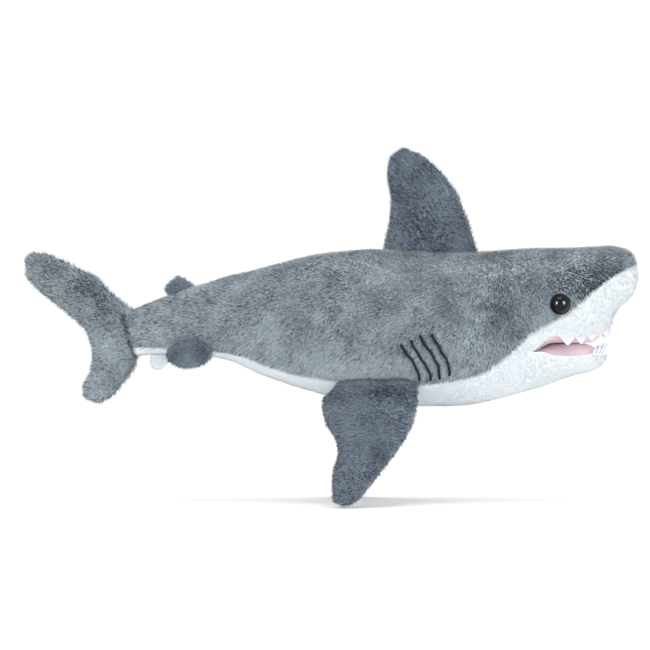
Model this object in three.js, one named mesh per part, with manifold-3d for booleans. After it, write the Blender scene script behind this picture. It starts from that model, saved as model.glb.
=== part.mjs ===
// Plush shark, 508 mm from nose to tail tip, in millimetres.
// +X runs to the nose, +Z up, and -Y is the shark's right side. Z = 0 is the tip of the hanging
// pectoral fins, and the origin lies below the middle of the whole length.

import * as THREE from "three";
import { mergeVertices } from "three/addons/utils/BufferGeometryUtils.js";
import Module from "manifold-3d";

const wasm = await Module();
wasm.setup();

// ---- Driving dimensions ----------------------------------------------------------------------

const FABRIC = 2.0;            // plush fabric, backing and short pile together
const GAP = 0.2;               // half of the space kept between two neighbouring pieces
const FELT = 1.2;

const NOSE_X = 254;
const CORNER_X = 170;          // the mouth corner, where the throat ends and the jaw begins
const FILL_INSET = FABRIC + 2; // the filling stays clear of the skin's flat facets
const ROOF_SPACE = 3;          // the head's filling stops this far above the mouth's lining
const HEAD_INSET = 5;          // and of the rooted teeth
const REST_LEVEL = 78.3;       // the belly is flat below this height, where the toy lies on it
const STEM_HINGE_X = -85;      // the tail stem bends here
const STEM_END_X = -166;       // the seam between tail stem and tail fin
const BODY_REAR_X = -76;       // the body skin starts ahead of the bend, clear of the stem's skin

// Side view of the body: x, then height.
const BACK = [[-168, 161], [-141, 171], [-104, 184], [-54, 196], [-5, 206], [45, 209.5],
  [100, 209.5], [150, 211.5], [200, 214.5], [230, 214.5], [242, 211.5], [250, 205], [254, 192]];
const BELLY = [[-168, 120], [-145, 122.5], [-116, 120.5], [-92, 118], [-54, 104], [-17, 92],
  [25, 82], [70, 77], [110, 79], [145, 86], [169, 93], [190, 101], [207, 107], [220, 122],
  [230, 141], [237, 156], [244, 168], [250, 177], [254, 190]];
const WIDEST = [[-168, 141], [-85, 152], [0, 148], [70, 145], [120, 148], [170, 158],
  [205, 170], [235, 184], [254, 191]];
const SEAM = [[-168, 132], [-141, 132], [-116, 129], [-79, 123], [-42, 109], [0, 101],
  [50, 99.5], [95, 102], [124, 109], [150, 126], [165, 141], [182, 151], [201, 163],
  [218, 178], [235, 191], [250, 198], [254, 192]];
// Plan view of the body: x, then half width.
const HALF_WIDTH = [[-168, 9], [-150, 14], [-116, 24], [-85, 33], [-54, 41], [-17, 49],
  [30, 54], [80, 55], [130, 53], [170, 48.5], [200, 43], [224, 35], [238, 27], [248, 16],
  [252.5, 8], [254, 3]];
// Side view of the open mouth: the upper lip, and the jaw's lower lip, underside and half width.
const UPPER_LIP = [[170, 128], [180, 136], [190, 139], [202, 137], [213, 139], [224, 142],
  [237, 156]];
const LOWER_LIP = [[174, 123.5], [186, 121], [200, 121], [224, 123], [231, 123.5]];
const JAW_UNDERSIDE = [[174, 94.5], [190, 101], [207, 107], [220, 112.5], [227, 117.5], [231, 121]];
const JAW_HALF_WIDTH = [[174, 40], [190, 36], [205, 31], [217, 24], [226, 14], [231, 3]];

const JAW_START_X = 176.5;     // leaves the throat a wedge of room when the jaw drops
const JAW_END_X = 231;
const MOUTH_FRONT_X = 237;
const ROOF_ARCH = 1.5;         // how far the roof of the mouth rises above the lips
const FLOOR_BULGE = 3;         // how far the stuffed floor of the mouth rises above the jaw's lip
const LINING = 1.5;            // the mouth's thin lining
const UPPER_TOOTH = 6.5;
const LOWER_TOOTH = 8;
const LOWER_TOOTH_LEAN = 0.3;  // sideways for each millimetre up
const TOOTH_ROOT = 3;          // felt behind the lip
const TOOTH_NOTCH = 0.6;       // felt that shows between two teeth
const TOOTH_INSET = FABRIC + 0.9;
// The rows of teeth: where they start, how far short of the lip's front they turn, and how wide
// the turn is at most.
const UPPER_ROW = { start: 184, short: 1.5, width: 60, teeth: 9 };
const LOWER_ROW = { start: 213, short: 4.6, width: 45, teeth: 5 };
const FLOOR_DROP = 1;          // the floor's edge lies this far below the lip
const FLOOR_INSET = TOOTH_INSET + FELT + 1.2;

const EYE = { x: 190, z: 166.4, radius: 8.5, height: 6.5, yaw: 11 };
const SHANK_RADIUS = 2;
const SHANK_LENGTH = 13;
const WASHER_RADIUS = 7;
const WASHER_THICKNESS = 1.6;
const WASHER_DEPTH = FABRIC + 1.1;
const WASHER_SPACE = 0.4;

const GILL_RADIUS = 0.8;       // a satin-stitched line of dark thread, standing on the pile
const GILL_LINES = [
  [[57.5, 133], [67, 120], [72, 110], [74, 102]],
  [[65.5, 137], [75, 121], [82, 108], [82.5, 102]],
  [[74, 141], [82, 127.5], [89, 114], [90.5, 103]],
  [[83, 142], [91, 127.5], [99, 115], [98, 106]],
];

// Each fin is drawn flat: its root lies along u, and v is the distance from its hinge line.
// front and rear are its two edges from root to tip, and half is half its thickness at the root.
const FINS = {
  dorsal: {
    half: 8, tipHalf: 3,
    front: [[78, -8], [76, 0], [69, 22], [61, 41], [46, 60], [30, 73], [21, 76.6]],
    rear: [[0, -8], [1.5, 2], [5, 18], [6, 34], [3, 54], [5, 70], [14, 76.4]],
  },
  second_dorsal: {
    half: 3.5, tipHalf: 2,
    front: [[23, -3.5], [20, 1], [12, 7], [7, 10]],
    rear: [[0, -3.5], [-2, 1], [-1, 6], [4, 10]],
  },
  pectoral: {
    half: 8, tipHalf: 3.5,
    front: [[66, -8], [67.5, 2], [66, 22], [60, 42], [47, 66], [33, 92], [23, 107], [17, 110]],
    rear: [[-1, -8], [-12, 8], [-8, 26], [2, 44], [6, 62], [3, 88], [4, 105], [11, 110]],
  },
  pelvic: {
    half: 3.5, tipHalf: 2.5,
    front: [[36, -3.5], [38, 4], [33, 14], [25, 19.5], [18, 20.5]],
    rear: [[1, -3.5], [-2, 4], [1, 13], [7, 18.5], [13, 20.5]],
  },
  anal: {
    half: 3, tipHalf: 2,
    front: [[15, -3], [14, 3], [10, 9]],
    rear: [[0, -3], [0, 3], [5, 9]],
  },
  // The tail fin runs from its lower lobe to its upper tip: u is height, v the distance backwards.
  tail: {
    half: 7, tipHalf: 3,
    front: [[84.5, 14.4], [91, 7.4], [100, -0.6], [112, -7], [130, -7], [146, -7], [162, -7],
      [170, 3.4], [178, 12], [188, 21.4], [195, 35.4], [201, 48.4], [206, 59.4], [208.5, 71.4]],
    rear: [[83.5, 26], [88, 32.5], [97, 32], [110, 26], [124, 24.4], [135, 26.5], [143, 30],
      [152, 36.4], [160, 44], [169, 53], [178, 63], [186, 72], [194, 79], [203, 80.4]],
  },
};
const FIN_COLUMNS = 7;         // grid of a fin across its chord
const FIN_EDGE = 0.8;          // a fin's panels are this thick at their sewn edge

const PECTORAL = { x: 6, y: 37.5, z: 90.566, splay: 35, yaw: 8 };
const PELVIC = { x: -135.5, y: 26, z: 131, splay: 30 };
const DORSAL = { x: 44.5, z: 218.5 };
const SECOND_DORSAL = { x: -136, z: 176.8, slope: 20 };
const ANAL = { x: -151, z: 118.2 };
const TAIL_FIN_HINGE_X = STEM_END_X - 0.6 - FINS.tail.half;

// ---- Materials -------------------------------------------------------------------------------

const cloth = (color, roughness = 0.95) =>
  () => new THREE.MeshStandardMaterial({ color, roughness, metalness: 0 });
const greyPlush = cloth(0x87919a);
const slatePlush = cloth(0x5c6873);
const whitePlush = cloth(0xebf0f6);
const pinkLining = cloth(0xe1cdd7, 0.8);
const whiteFelt = cloth(0xeceef8, 0.9);
const fibreFill = cloth(0xf7f7f5, 1.0);
const darkThread = cloth(0x24262b, 0.6);
const eyePlastic = cloth(0x07080a, 0.08);
const washerPlastic = cloth(0xd8d8d4, 0.45);

// ---- Small tools -----------------------------------------------------------------------------

const radians = THREE.MathUtils.degToRad;
const lerp = THREE.MathUtils.lerp;

// A smooth function through [x, value] points, with no overshoot between them.
function smooth(points) {
  const slope = (i) => (points[i + 1][1] - points[i][1]) / (points[i + 1][0] - points[i][0]);
  const tangents = points.map((_, i) => {
    if (i === 0) return slope(0);
    if (i === points.length - 1) return slope(i - 1);
    const before = slope(i - 1);
    const after = slope(i);
    return before * after <= 0 ? 0 : (2 * before * after) / (before + after);
  });
  return (x) => {
    let i = 0;
    while (i < points.length - 2 && x > points[i + 1][0]) i += 1;
    const [x0, y0] = points[i];
    const [x1, y1] = points[i + 1];
    const t = THREE.MathUtils.clamp((x - x0) / (x1 - x0), 0, 1);
    const h = x1 - x0;
    return y0 * (2 * t ** 3 - 3 * t ** 2 + 1) + y1 * (3 * t ** 2 - 2 * t ** 3)
      + h * tangents[i] * (t ** 3 - 2 * t ** 2 + t) + h * tangents[i + 1] * (t ** 3 - t ** 2);
  };
}

const range = (from, to, steps) =>
  Array.from({ length: steps + 1 }, (_, i) => lerp(from, to, i / steps));

function signedVolume(points, triangles) {
  const cross = new THREE.Vector3();
  return triangles.reduce((sum, [a, b, c]) =>
    sum + points[a].dot(cross.crossVectors(points[b], points[c])) / 6, 0);
}

// Merges equal points, drops collapsed triangles and turns every face outwards.
function closedGeometry(points, triangles) {
  const raw = new THREE.BufferGeometry();
  raw.setAttribute("position", new THREE.Float32BufferAttribute(points.flatMap((p) => p.toArray()), 3));
  raw.setIndex(triangles.flat());
  const merged = mergeVertices(raw, 1e-3);
  const index = merged.index.array;
  const kept = [];
  for (let i = 0; i < index.length; i += 3) {
    const [a, b, c] = index.slice(i, i + 3);
    if (a !== b && b !== c && c !== a) kept.push([a, b, c]);
  }
  const places = merged.attributes.position;
  const corners = Array.from({ length: places.count }, (_, i) =>
    new THREE.Vector3().fromBufferAttribute(places, i));
  const outwards = signedVolume(corners, kept) > 0;
  merged.setIndex(kept.flatMap(([a, b, c]) => (outwards ? [a, b, c] : [a, c, b])));
  merged.computeVertexNormals();
  return merged;
}

// A closed solid between two grids of points, joined all round their border.
function shell(rows, columns, outer, inner) {
  const points = [];
  for (const side of [outer, inner]) {
    for (let i = 0; i < rows; i += 1) {
      for (let j = 0; j < columns; j += 1) points.push(side(i, j));
    }
  }
  const at = (layer, i, j) => (layer * rows + i) * columns + j;
  const triangles = [];
  const quad = (a, b, c, d) => triangles.push([a, b, c], [a, c, d]);
  for (let i = 0; i < rows - 1; i += 1) {
    for (let j = 0; j < columns - 1; j += 1) {
      quad(at(0, i, j), at(0, i + 1, j), at(0, i + 1, j + 1), at(0, i, j + 1));
      quad(at(1, i, j), at(1, i, j + 1), at(1, i + 1, j + 1), at(1, i + 1, j));
    }
  }
  const end = columns - 1;
  for (let i = 0; i < rows - 1; i += 1) {
    quad(at(0, i, 0), at(1, i, 0), at(1, i + 1, 0), at(0, i + 1, 0));
    quad(at(0, i, end), at(0, i + 1, end), at(1, i + 1, end), at(1, i, end));
  }
  for (let j = 0; j < columns - 1; j += 1) {
    quad(at(0, 0, j), at(0, 0, j + 1), at(1, 0, j + 1), at(1, 0, j));
    quad(at(0, rows - 1, j), at(1, rows - 1, j), at(1, rows - 1, j + 1), at(0, rows - 1, j + 1));
  }
  return closedGeometry(points, triangles);
}

// A closed solid through a row of rings, each with the same number of points.
function loft(rings) {
  const count = rings[0].length;
  const points = rings.flat();
  const triangles = [];
  for (let i = 0; i < rings.length - 1; i += 1) {
    for (let j = 0; j < count; j += 1) {
      const next = (j + 1) % count;
      const [low, high] = [i * count, (i + 1) * count];
      triangles.push([low + j, low + next, high + next], [low + j, high + next, high + j]);
    }
  }
  for (const [ring, flip] of [[0, true], [rings.length - 1, false]]) {
    const middle = new THREE.Vector3();
    rings[ring].forEach((p) => middle.addScaledVector(p, 1 / count));
    points.push(middle);
    for (let j = 0; j < count; j += 1) {
      const a = ring * count + j;
      const b = ring * count + (j + 1) % count;
      triangles.push(flip ? [points.length - 1, b, a] : [points.length - 1, a, b]);
    }
  }
  return closedGeometry(points, triangles);
}

function toManifold(geometry) {
  const bare = geometry.clone();
  bare.deleteAttribute("normal");
  bare.deleteAttribute("uv");
  const merged = mergeVertices(bare, 1e-4);
  return new wasm.Manifold(new wasm.Mesh({
    numProp: 3,
    vertProperties: new Float32Array(merged.attributes.position.array),
    triVerts: new Uint32Array(merged.index.array),
  }));
}

function cut(geometry, cutters) {
  let solid = toManifold(geometry);
  for (const cutter of cutters) solid = solid.subtract(toManifold(cutter));
  const mesh = solid.getMesh();
  const result = new THREE.BufferGeometry();
  result.setAttribute("position", new THREE.Float32BufferAttribute(mesh.vertProperties, 3));
  result.setIndex(Array.from(mesh.triVerts));
  result.computeVertexNormals();
  return result;
}

function piece(name, geometry, material) {
  const mesh = new THREE.Mesh(geometry, material());
  mesh.name = name;
  return mesh;
}

// ---- The body's surface ----------------------------------------------------------------------

const back = smooth(BACK);
const belly = smooth(BELLY);
const widest = smooth(WIDEST);
const seam = smooth(SEAM);
const halfWidth = smooth(HALF_WIDTH);
const upperLip = smooth(UPPER_LIP);
const lowerLip = smooth(LOWER_LIP);
const jawUnderside = smooth(JAW_UNDERSIDE);
const jawHalfWidth = smooth(JAW_HALF_WIDTH);

// A point of the body's section at x. angle is 0 at the widest level and 90 degrees at the back,
// inset is the depth below the outer surface, and side is -1 on the right and +1 on the left.
function skinPoint(x, angle, inset, side) {
  const middle = widest(x);
  const reach = angle > 0 ? back(x) - middle : middle - belly(x);
  const width = Math.max(halfWidth(x) - inset, 0.6);
  const height = Math.max(reach - inset, 0.3);
  return new THREE.Vector3(
    x,
    side * (GAP + (width - GAP) * Math.cos(angle)),
    Math.max(middle + height * Math.sin(angle), REST_LEVEL + inset),
  );
}

// The section angle at a given height.
function angleAt(x, z) {
  const middle = widest(x);
  const reach = z > middle ? back(x) - middle : middle - belly(x);
  return Math.asin(THREE.MathUtils.clamp((z - middle) / reach, -1, 1));
}

const RIGHT = -1;
const LEFT = 1;
const TOP = Math.PI / 2;
const SEAM_SPACE = (x) => GAP / Math.max(halfWidth(x), 8);
const seamAngle = (x) => angleAt(x, seam(x));

// One sewn panel of the skin, between two angles that may change along the body.
function skinPanel(stations, columns, side, low, high, depth = FABRIC) {
  const place = (inset) => (i, j) => {
    const x = stations[i];
    return skinPoint(x, lerp(low(x), high(x), j / (columns - 1)), inset, side);
  };
  return shell(stations.length, columns, place(0), place(depth));
}

// Grey panel on one side: from the side seam up to the seam along the back.
const greyPanel = (stations, side) =>
  skinPanel(stations, 6, side, (x) => seamAngle(x) + SEAM_SPACE(x), () => TOP);

// White belly panel: one piece from side seam to side seam, round the underside.
function bellyPanel(stations, columns = 11) {
  const place = (inset) => (i, j) => {
    const x = stations[i];
    const limit = seamAngle(x) - SEAM_SPACE(x);
    const across = (2 * j) / (columns - 1) - 1;
    const point = skinPoint(x, lerp(-TOP, limit, Math.abs(across)), inset, Math.sign(across) || 1);
    if (across === 0) point.y = 0;
    return point;
  };
  return shell(stations.length, columns, place(0), place(FABRIC));
}

// A full ring of the section, for the filling.
function sectionRing(x, inset, half = 8) {
  const ring = [];
  for (const side of [RIGHT, LEFT]) {
    for (let j = 0; j < half; j += 1) {
      const angle = lerp(-TOP, TOP, j / half) * -side;
      const point = skinPoint(x, angle, inset, side);
      if (j === 0) point.y = 0;
      ring.push(point);
    }
  }
  return ring;
}

// ---- Body, which holds the upper head --------------------------------------------------------

const BODY_STATIONS = range(BODY_REAR_X, CORNER_X - GAP, 12);
const HEAD_STATIONS = [CORNER_X + GAP, 180, 190, 200, 210, 219, 227, 234, 240, 245, 249, 252];
const CHEEK_STATIONS = [...HEAD_STATIONS, 253.2, NOSE_X];
const LOWEST_ANGLE = -1.45;    // the head's filling ends just short of the underside's middle

const upperLipAngle = (x) => (x < MOUTH_FRONT_X ? angleAt(x, upperLip(x)) : -TOP);

function eyePlacement(side) {
  const middle = skinPoint(EYE.x, angleAt(EYE.x, EYE.z), 0, side);
  const group = new THREE.Group();
  group.position.copy(middle);
  // +Z of the eye points outwards, turned a little towards the nose.
  group.rotation.set(-side * Math.PI / 2, radians(EYE.yaw), 0, "XYZ");
  group.updateMatrixWorld();
  return group;
}

function cylinderAlong(radius, from, to, segments = 16) {
  const geometry = new THREE.CylinderGeometry(radius, radius, to - from, segments);
  geometry.rotateX(Math.PI / 2);
  geometry.translate(0, 0, (from + to) / 2);
  return geometry;
}

function eyeGeometry() {
  const { radius, height } = EYE;
  const base = 0.4;
  const dome = range(0, 90, 6).map((a) =>
    new THREE.Vector2(radius * Math.cos(radians(a)), base + 1 + (height - 1) * Math.sin(radians(a))));
  dome[dome.length - 1].x = 0;
  const profile = [
    new THREE.Vector2(0, base - SHANK_LENGTH),
    new THREE.Vector2(SHANK_RADIUS, base - SHANK_LENGTH),
    new THREE.Vector2(SHANK_RADIUS, base),
    new THREE.Vector2(radius, base),
    ...dome,
  ];
  const geometry = new THREE.LatheGeometry(profile, 18);
  geometry.rotateX(Math.PI / 2);
  return solidify(geometry);
}

// A library shape as one closed body with merged points.
function solidify(geometry) {
  const places = geometry.attributes.position;
  const points = Array.from({ length: places.count }, (_, i) =>
    new THREE.Vector3().fromBufferAttribute(places, i));
  const index = geometry.index ? Array.from(geometry.index.array) : points.map((_, i) => i);
  const triangles = Array.from({ length: index.length / 3 }, (_, t) => index.slice(3 * t, 3 * t + 3));
  return closedGeometry(points, triangles);
}

function washerGeometry() {
  const disc = cylinderAlong(WASHER_RADIUS, -WASHER_DEPTH - WASHER_THICKNESS, -WASHER_DEPTH, 20);
  return cut(disc, [cylinderAlong(SHANK_RADIUS + GAP, -20, 0)]);
}

// What has to be cut from the skin and the filling for one eye.
function eyeCutters(side, withPocket) {
  const { matrixWorld } = eyePlacement(side);
  const cutters = [cylinderAlong(SHANK_RADIUS + GAP, -SHANK_LENGTH - 1, 4)];
  if (withPocket) {
    const depth = WASHER_DEPTH + WASHER_THICKNESS + WASHER_SPACE;
    cutters.push(cylinderAlong(WASHER_RADIUS + WASHER_SPACE, -depth, 4, 20));
  }
  return cutters.map((cutter) => cutter.applyMatrix4(matrixWorld));
}

function headFilling() {
  const stations = [CORNER_X + 4, ...HEAD_STATIONS.slice(1, 11)];
  const half = 7;
  const rings = stations.map((x) => {
    const open = x < MOUTH_FRONT_X ? Math.max(angleAt(x, upperLip(x)), LOWEST_ANGLE) : LOWEST_ANGLE;
    const ring = [];
    for (const side of [RIGHT, LEFT]) {
      for (let j = 0; j <= half; j += 1) {
        const t = side === RIGHT ? j / half : 1 - j / half;
        const point = skinPoint(x, lerp(open, TOP, t), HEAD_INSET, side);
        if (t === 0) point.z = Math.max(point.z, roofHeight(x, point.y) + LINING + ROOF_SPACE);
        if (t === 1) point.y = 0;
        ring.push(point);
      }
    }
    // The underside follows the arch of the mouth's roof.
    for (const across of [0.5, 0, -0.5]) {
      const y = across * Math.abs(ring[0].y);
      const floor = Math.max(roofHeight(x, y) + LINING + ROOF_SPACE, belly(x) + HEAD_INSET);
      ring.push(new THREE.Vector3(x, y, floor));
    }
    return ring;
  });
  return loft(rings);
}

// The roof of the mouth is an arch between the lips.
function roofHeight(x, y) {
  const half = Math.max(lipHalfWidth(x), 1);
  const bow = 1 - Math.min(Math.abs(y) / half, 1) ** 2;
  return upperLip(Math.min(x, MOUTH_FRONT_X)) + 1 + ROOF_ARCH * bow * Math.min(half / 20, 1);
}

const lipHalfWidth = (x) => halfWidth(x) * Math.cos(upperLipAngle(x));

function mouthRoof() {
  const stations = [CORNER_X + 3, 180, 190, 200, 210, 218, 225, 229];
  const columns = 7;
  const place = (lift) => (i, j) => {
    const x = stations[i];
    const half = Math.max(lipHalfWidth(x) - HEAD_INSET - 2, 2);
    const y = lerp(-half, half, j / (columns - 1));
    return new THREE.Vector3(x, y, roofHeight(x, y) + lift);
  };
  return shell(stations.length, columns, place(0), place(LINING));
}

// A strip of felt teeth round a lip: path(t) gives its line, and the points stand off by height.
function toothStrip(path, { teeth }, height) {
  const columns = 2 * teeth + 1;
  const place = (inset) => (i, j) => {
    const t = (2 * j) / (columns - 1) - 1;
    const edge = j % 2 === 1 ? height : TOOTH_NOTCH;
    const reach = i === 0 ? TOOTH_ROOT : -edge;
    return path(t, inset, reach);
  };
  return shell(2, columns, place(TOOTH_INSET), place(TOOTH_INSET + FELT));
}

// The lip's plan is walked by an angle, so that the strip also runs across the front.
function rowPoint(row, front, lipHalf, t, inset) {
  const angle = Math.abs(t) * Math.PI / 2;
  const x = row.start + (front - row.short - row.start) * Math.cos(angle) - inset * 0.3;
  const half = Math.max(lipHalf(x) - inset, 0);
  return { angle, x, y: Math.sign(t) * Math.min(half, row.width * Math.abs(t)) };
}

function upperLipPath(t, inset, reach) {
  const lipHalf = (at) => halfWidth(at) * Math.cos(angleAt(at, upperLip(at)));
  const { x, y } = rowPoint(UPPER_ROW, MOUTH_FRONT_X, lipHalf, t, inset);
  return new THREE.Vector3(x - (inset - FABRIC), y, upperLip(x) + reach);
}

// The lower teeth stand round the front of the jaw only, and lean outwards.
function lowerLipPath(t, inset, reach) {
  const { angle, x, y } = rowPoint(LOWER_ROW, JAW_END_X, jawHalfWidth, t, inset);
  const lean = LOWER_TOOTH_LEAN * Math.max(-reach, 0);
  return new THREE.Vector3(
    x - (inset - FABRIC) + lean * Math.cos(angle),
    y + Math.sign(t) * lean * Math.sin(angle),
    lowerLip(x) - reach,
  );
}

function gillLine(points, side) {
  const path = new THREE.CatmullRomCurve3(points.map(([x, z]) =>
    skinPoint(x, angleAt(x, z), -GILL_RADIUS - 2 * GAP, side)));
  const section = new THREE.Shape();
  section.absarc(0, 0, GILL_RADIUS, 0, 2 * Math.PI);
  return solidify(new THREE.ExtrudeGeometry(section, {
    extrudePath: path, steps: 8, curveSegments: 3, bevelEnabled: false,
  }));
}

function buildBody() {
  const group = new THREE.Group();
  const stations = [...BODY_STATIONS, ...HEAD_STATIONS.slice(1)];
  for (const [name, side] of [["right", RIGHT], ["left", LEFT]]) {
    const backPanel = cut(greyPanel(stations, side), eyeCutters(side, false));
    group.add(piece(`${name}_back_panel`, backPanel, greyPlush));
    group.add(piece(`${name}_cheek_panel`, skinPanel(CHEEK_STATIONS, 6, side, upperLipAngle,
      (x) => seamAngle(x) - SEAM_SPACE(x)), whitePlush));
    const eye = eyePlacement(side);
    eye.add(piece(`${name}_eye`, eyeGeometry(), eyePlastic));
    eye.add(piece(`${name}_eye_washer`, washerGeometry(), washerPlastic));
    group.add(eye);
    GILL_LINES.forEach((points, i) =>
      group.add(piece(`${name}_gill_stitch_${i + 1}`, gillLine(points, side), darkThread)));
  }
  group.add(piece("belly_panel", bellyPanel(BODY_STATIONS), whitePlush));
  group.add(piece("body_stuffing", loft([-53, -25, 10, 45, 80, 115, 145, CORNER_X + 1]
    .map((x) => sectionRing(x, FILL_INSET))), fibreFill));
  group.add(piece("head_stuffing", cut(headFilling(),
    [...eyeCutters(RIGHT, true), ...eyeCutters(LEFT, true)]), fibreFill));
  group.add(piece("mouth_roof", mouthRoof(), pinkLining));
  group.add(piece("upper_teeth", toothStrip(upperLipPath, UPPER_ROW, UPPER_TOOTH), whiteFelt));
  return group;
}

// ---- Lower jaw -------------------------------------------------------------------------------

const JAW_STATIONS = [JAW_START_X, 186, 196, 206, 214, 221, 226, 229, JAW_END_X];

function jawPoint(x, angle, inset) {
  const width = Math.max(jawHalfWidth(x) - inset, 0.6);
  const depth = Math.max(lowerLip(x) - jawUnderside(x) - inset, 0.4);
  return new THREE.Vector3(x, width * Math.cos(angle), lowerLip(x) - depth * Math.sin(angle));
}

function jawPanel() {
  const columns = 11;
  const place = (inset) => (i, j) => jawPoint(JAW_STATIONS[i], Math.PI * j / (columns - 1), inset);
  return shell(JAW_STATIONS.length, columns, place(0), place(FABRIC));
}

function mouthFloor() {
  const stations = [...JAW_STATIONS.slice(0, 5), 216];
  const place = (drop) => (i, j) => {
    const x = stations[i];
    const half = Math.max(jawHalfWidth(x) - FLOOR_INSET - 0.8, 2);
    const across = j / 3 - 1;
    const bulge = FLOOR_BULGE * (1 - across ** 2);
    return new THREE.Vector3(x, half * across, lowerLip(x) - FLOOR_DROP + bulge - drop);
  };
  return shell(stations.length, 7, place(0), place(LINING));
}

function jawFilling() {
  const stations = [JAW_START_X, 190, 202, 210, 216];
  return loft(stations.map((x) => {
    const width = jawHalfWidth(x) - FLOOR_INSET;
    const top = lowerLip(x) - FLOOR_DROP - LINING - 1.2;
    const depth = top - jawUnderside(x) - FILL_INSET;
    return range(0, Math.PI, 8).map((angle) =>
      new THREE.Vector3(x, width * Math.cos(angle), top - depth * Math.sin(angle)));
  }));
}

function buildJaw() {
  const group = new THREE.Group();
  group.add(piece("jaw_panel", jawPanel(), whitePlush));
  group.add(piece("mouth_floor", mouthFloor(), pinkLining));
  group.add(piece("jaw_stuffing", jawFilling(), fibreFill));
  group.add(piece("lower_teeth", toothStrip(lowerLipPath, LOWER_ROW, LOWER_TOOTH), whiteFelt));
  return group;
}

// ---- Tail stem -------------------------------------------------------------------------------

function stemFilling() {
  const inset = FILL_INSET - 0.5;
  const hinge = STEM_HINGE_X - 2 * GAP;
  const rings = range(STEM_END_X + 2, hinge, 4).map((x) => sectionRing(x, inset));
  // The front is the section at the bend, turned about the upright axis, so that it stays clear.
  for (const turn of [22.5, 45, 67.5, 90]) {
    rings.push(sectionRing(hinge, inset).map((p) => new THREE.Vector3(
      hinge + Math.abs(p.y) * Math.sin(radians(turn)), p.y * Math.cos(radians(turn)), p.z)));
  }
  return loft(rings);
}

function buildTailStem() {
  const group = new THREE.Group();
  const stations = range(STEM_END_X, STEM_HINGE_X - GAP, 6);
  group.add(piece("right_tail_panel", greyPanel(stations, RIGHT), greyPlush));
  group.add(piece("left_tail_panel", greyPanel(stations, LEFT), greyPlush));
  group.add(piece("tail_belly_panel", bellyPanel(stations, 9), whitePlush));
  group.add(piece("tail_stuffing", stemFilling(), fibreFill));
  return group;
}

// ---- Fins ------------------------------------------------------------------------------------

function distanceToEdge(u, v, outline) {
  const closest = new THREE.Vector3();
  const spot = new THREE.Vector3(u, v, 0);
  return outline.reduce((least, corner, i) => {
    const next = outline[(i + 1) % outline.length];
    const line = new THREE.Line3(new THREE.Vector3(...corner, 0), new THREE.Vector3(...next, 0));
    line.closestPointToPoint(spot, true, closest);
    return Math.min(least, closest.distanceTo(spot));
  }, Infinity);
}

// The flat grid of a fin and the thickness at each of its points. A fin's root and its edges are
// rounded to a half circle about the hinge line, so it can swing in place.
function finGrid({ front, rear, half, tipHalf }) {
  const outline = [...front, ...[...rear].reverse()];
  const tall = Math.max(...front.map(([, v]) => v));
  return (i, j) => {
    const across = j / (FIN_COLUMNS - 1);
    const u = lerp(front[i][0], rear[i][0], across);
    const v = lerp(front[i][1], rear[i][1], across);
    const reach = half - (half - tipHalf) * Math.max(v / tall, 0);
    const near = Math.min(distanceToEdge(u, v, outline) / reach, 1);
    return { u, v, thick: Math.max(reach * Math.sqrt(1 - (1 - near) ** 2), FIN_EDGE) };
  };
}

// One face of a fin, on side -1 or +1 of its middle plane. hollow leaves room for the filling.
function finPanel(fin, side, hollow) {
  const at = finGrid(fin);
  const place = (outer) => (i, j) => {
    const { u, v, thick } = at(i, j);
    const inside = hollow ? Math.max(thick - FABRIC, GAP) : GAP;
    return new THREE.Vector3(u, side * (outer ? thick : inside), v);
  };
  return shell(fin.front.length, FIN_COLUMNS, place(true), place(false));
}

// The filling lies under the inner points of the panels' own grid.
function finFilling(fin) {
  const at = finGrid(fin);
  const place = (side) => (i, j) => {
    const { u, v, thick } = at(i + 1, j + 1);
    return new THREE.Vector3(u, side * Math.max(thick - FABRIC - 2 * GAP, GAP), v);
  };
  return shell(fin.front.length - 2, FIN_COLUMNS - 2, place(RIGHT), place(LEFT));
}

function buildFin(name, fin, [rightName, leftName], material, hollow) {
  const group = new THREE.Group();
  group.add(piece(`${name}_${rightName}`, finPanel(fin, RIGHT, hollow), material));
  group.add(piece(`${name}_${leftName}`, finPanel(fin, LEFT, hollow), material));
  if (hollow) group.add(piece(`${name}_stuffing`, finFilling(fin), fibreFill));
  return group;
}

const FACES = ["right_panel", "left_panel"];

function buildDorsal() {
  const group = buildFin("dorsal_fin", FINS.dorsal, FACES, slatePlush, true);
  group.position.set(DORSAL.x, 0, DORSAL.z);
  return group;
}

function buildSecondDorsal() {
  const group = buildFin("second_dorsal_fin", FINS.second_dorsal, FACES, slatePlush, false);
  group.position.set(SECOND_DORSAL.x, 0, SECOND_DORSAL.z);
  group.rotation.y = -radians(SECOND_DORSAL.slope);
  return group;
}

function buildTailFin() {
  const group = buildFin("tail_fin", FINS.tail, FACES, slatePlush, true);
  group.position.x = TAIL_FIN_HINGE_X;
  group.rotation.y = -Math.PI / 2;
  return group;
}

// A hanging fin is turned half round its root, so its right and left faces change places.
function buildAnal() {
  const group = buildFin("anal_fin", FINS.anal, [...FACES].reverse(), whitePlush, false);
  group.position.set(ANAL.x, 0, ANAL.z);
  group.rotation.x = Math.PI;
  return group;
}

// A paired fin hangs down and outwards by its splay, from a root turned outwards by its yaw.
function buildPairedFin(name, fin, { x, y, z, splay, yaw = 0 }, side, hollow) {
  const faces = side === RIGHT ? ["lower_panel", "upper_panel"] : ["upper_panel", "lower_panel"];
  const group = buildFin(`${side === RIGHT ? "right" : "left"}_${name}`, fin, faces, slatePlush, hollow);
  group.position.set(x, side * y, z);
  group.rotation.set(Math.PI + side * radians(splay), 0, side * radians(yaw), "ZYX");
  return group;
}

// ---- The whole shark -------------------------------------------------------------------------

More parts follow.
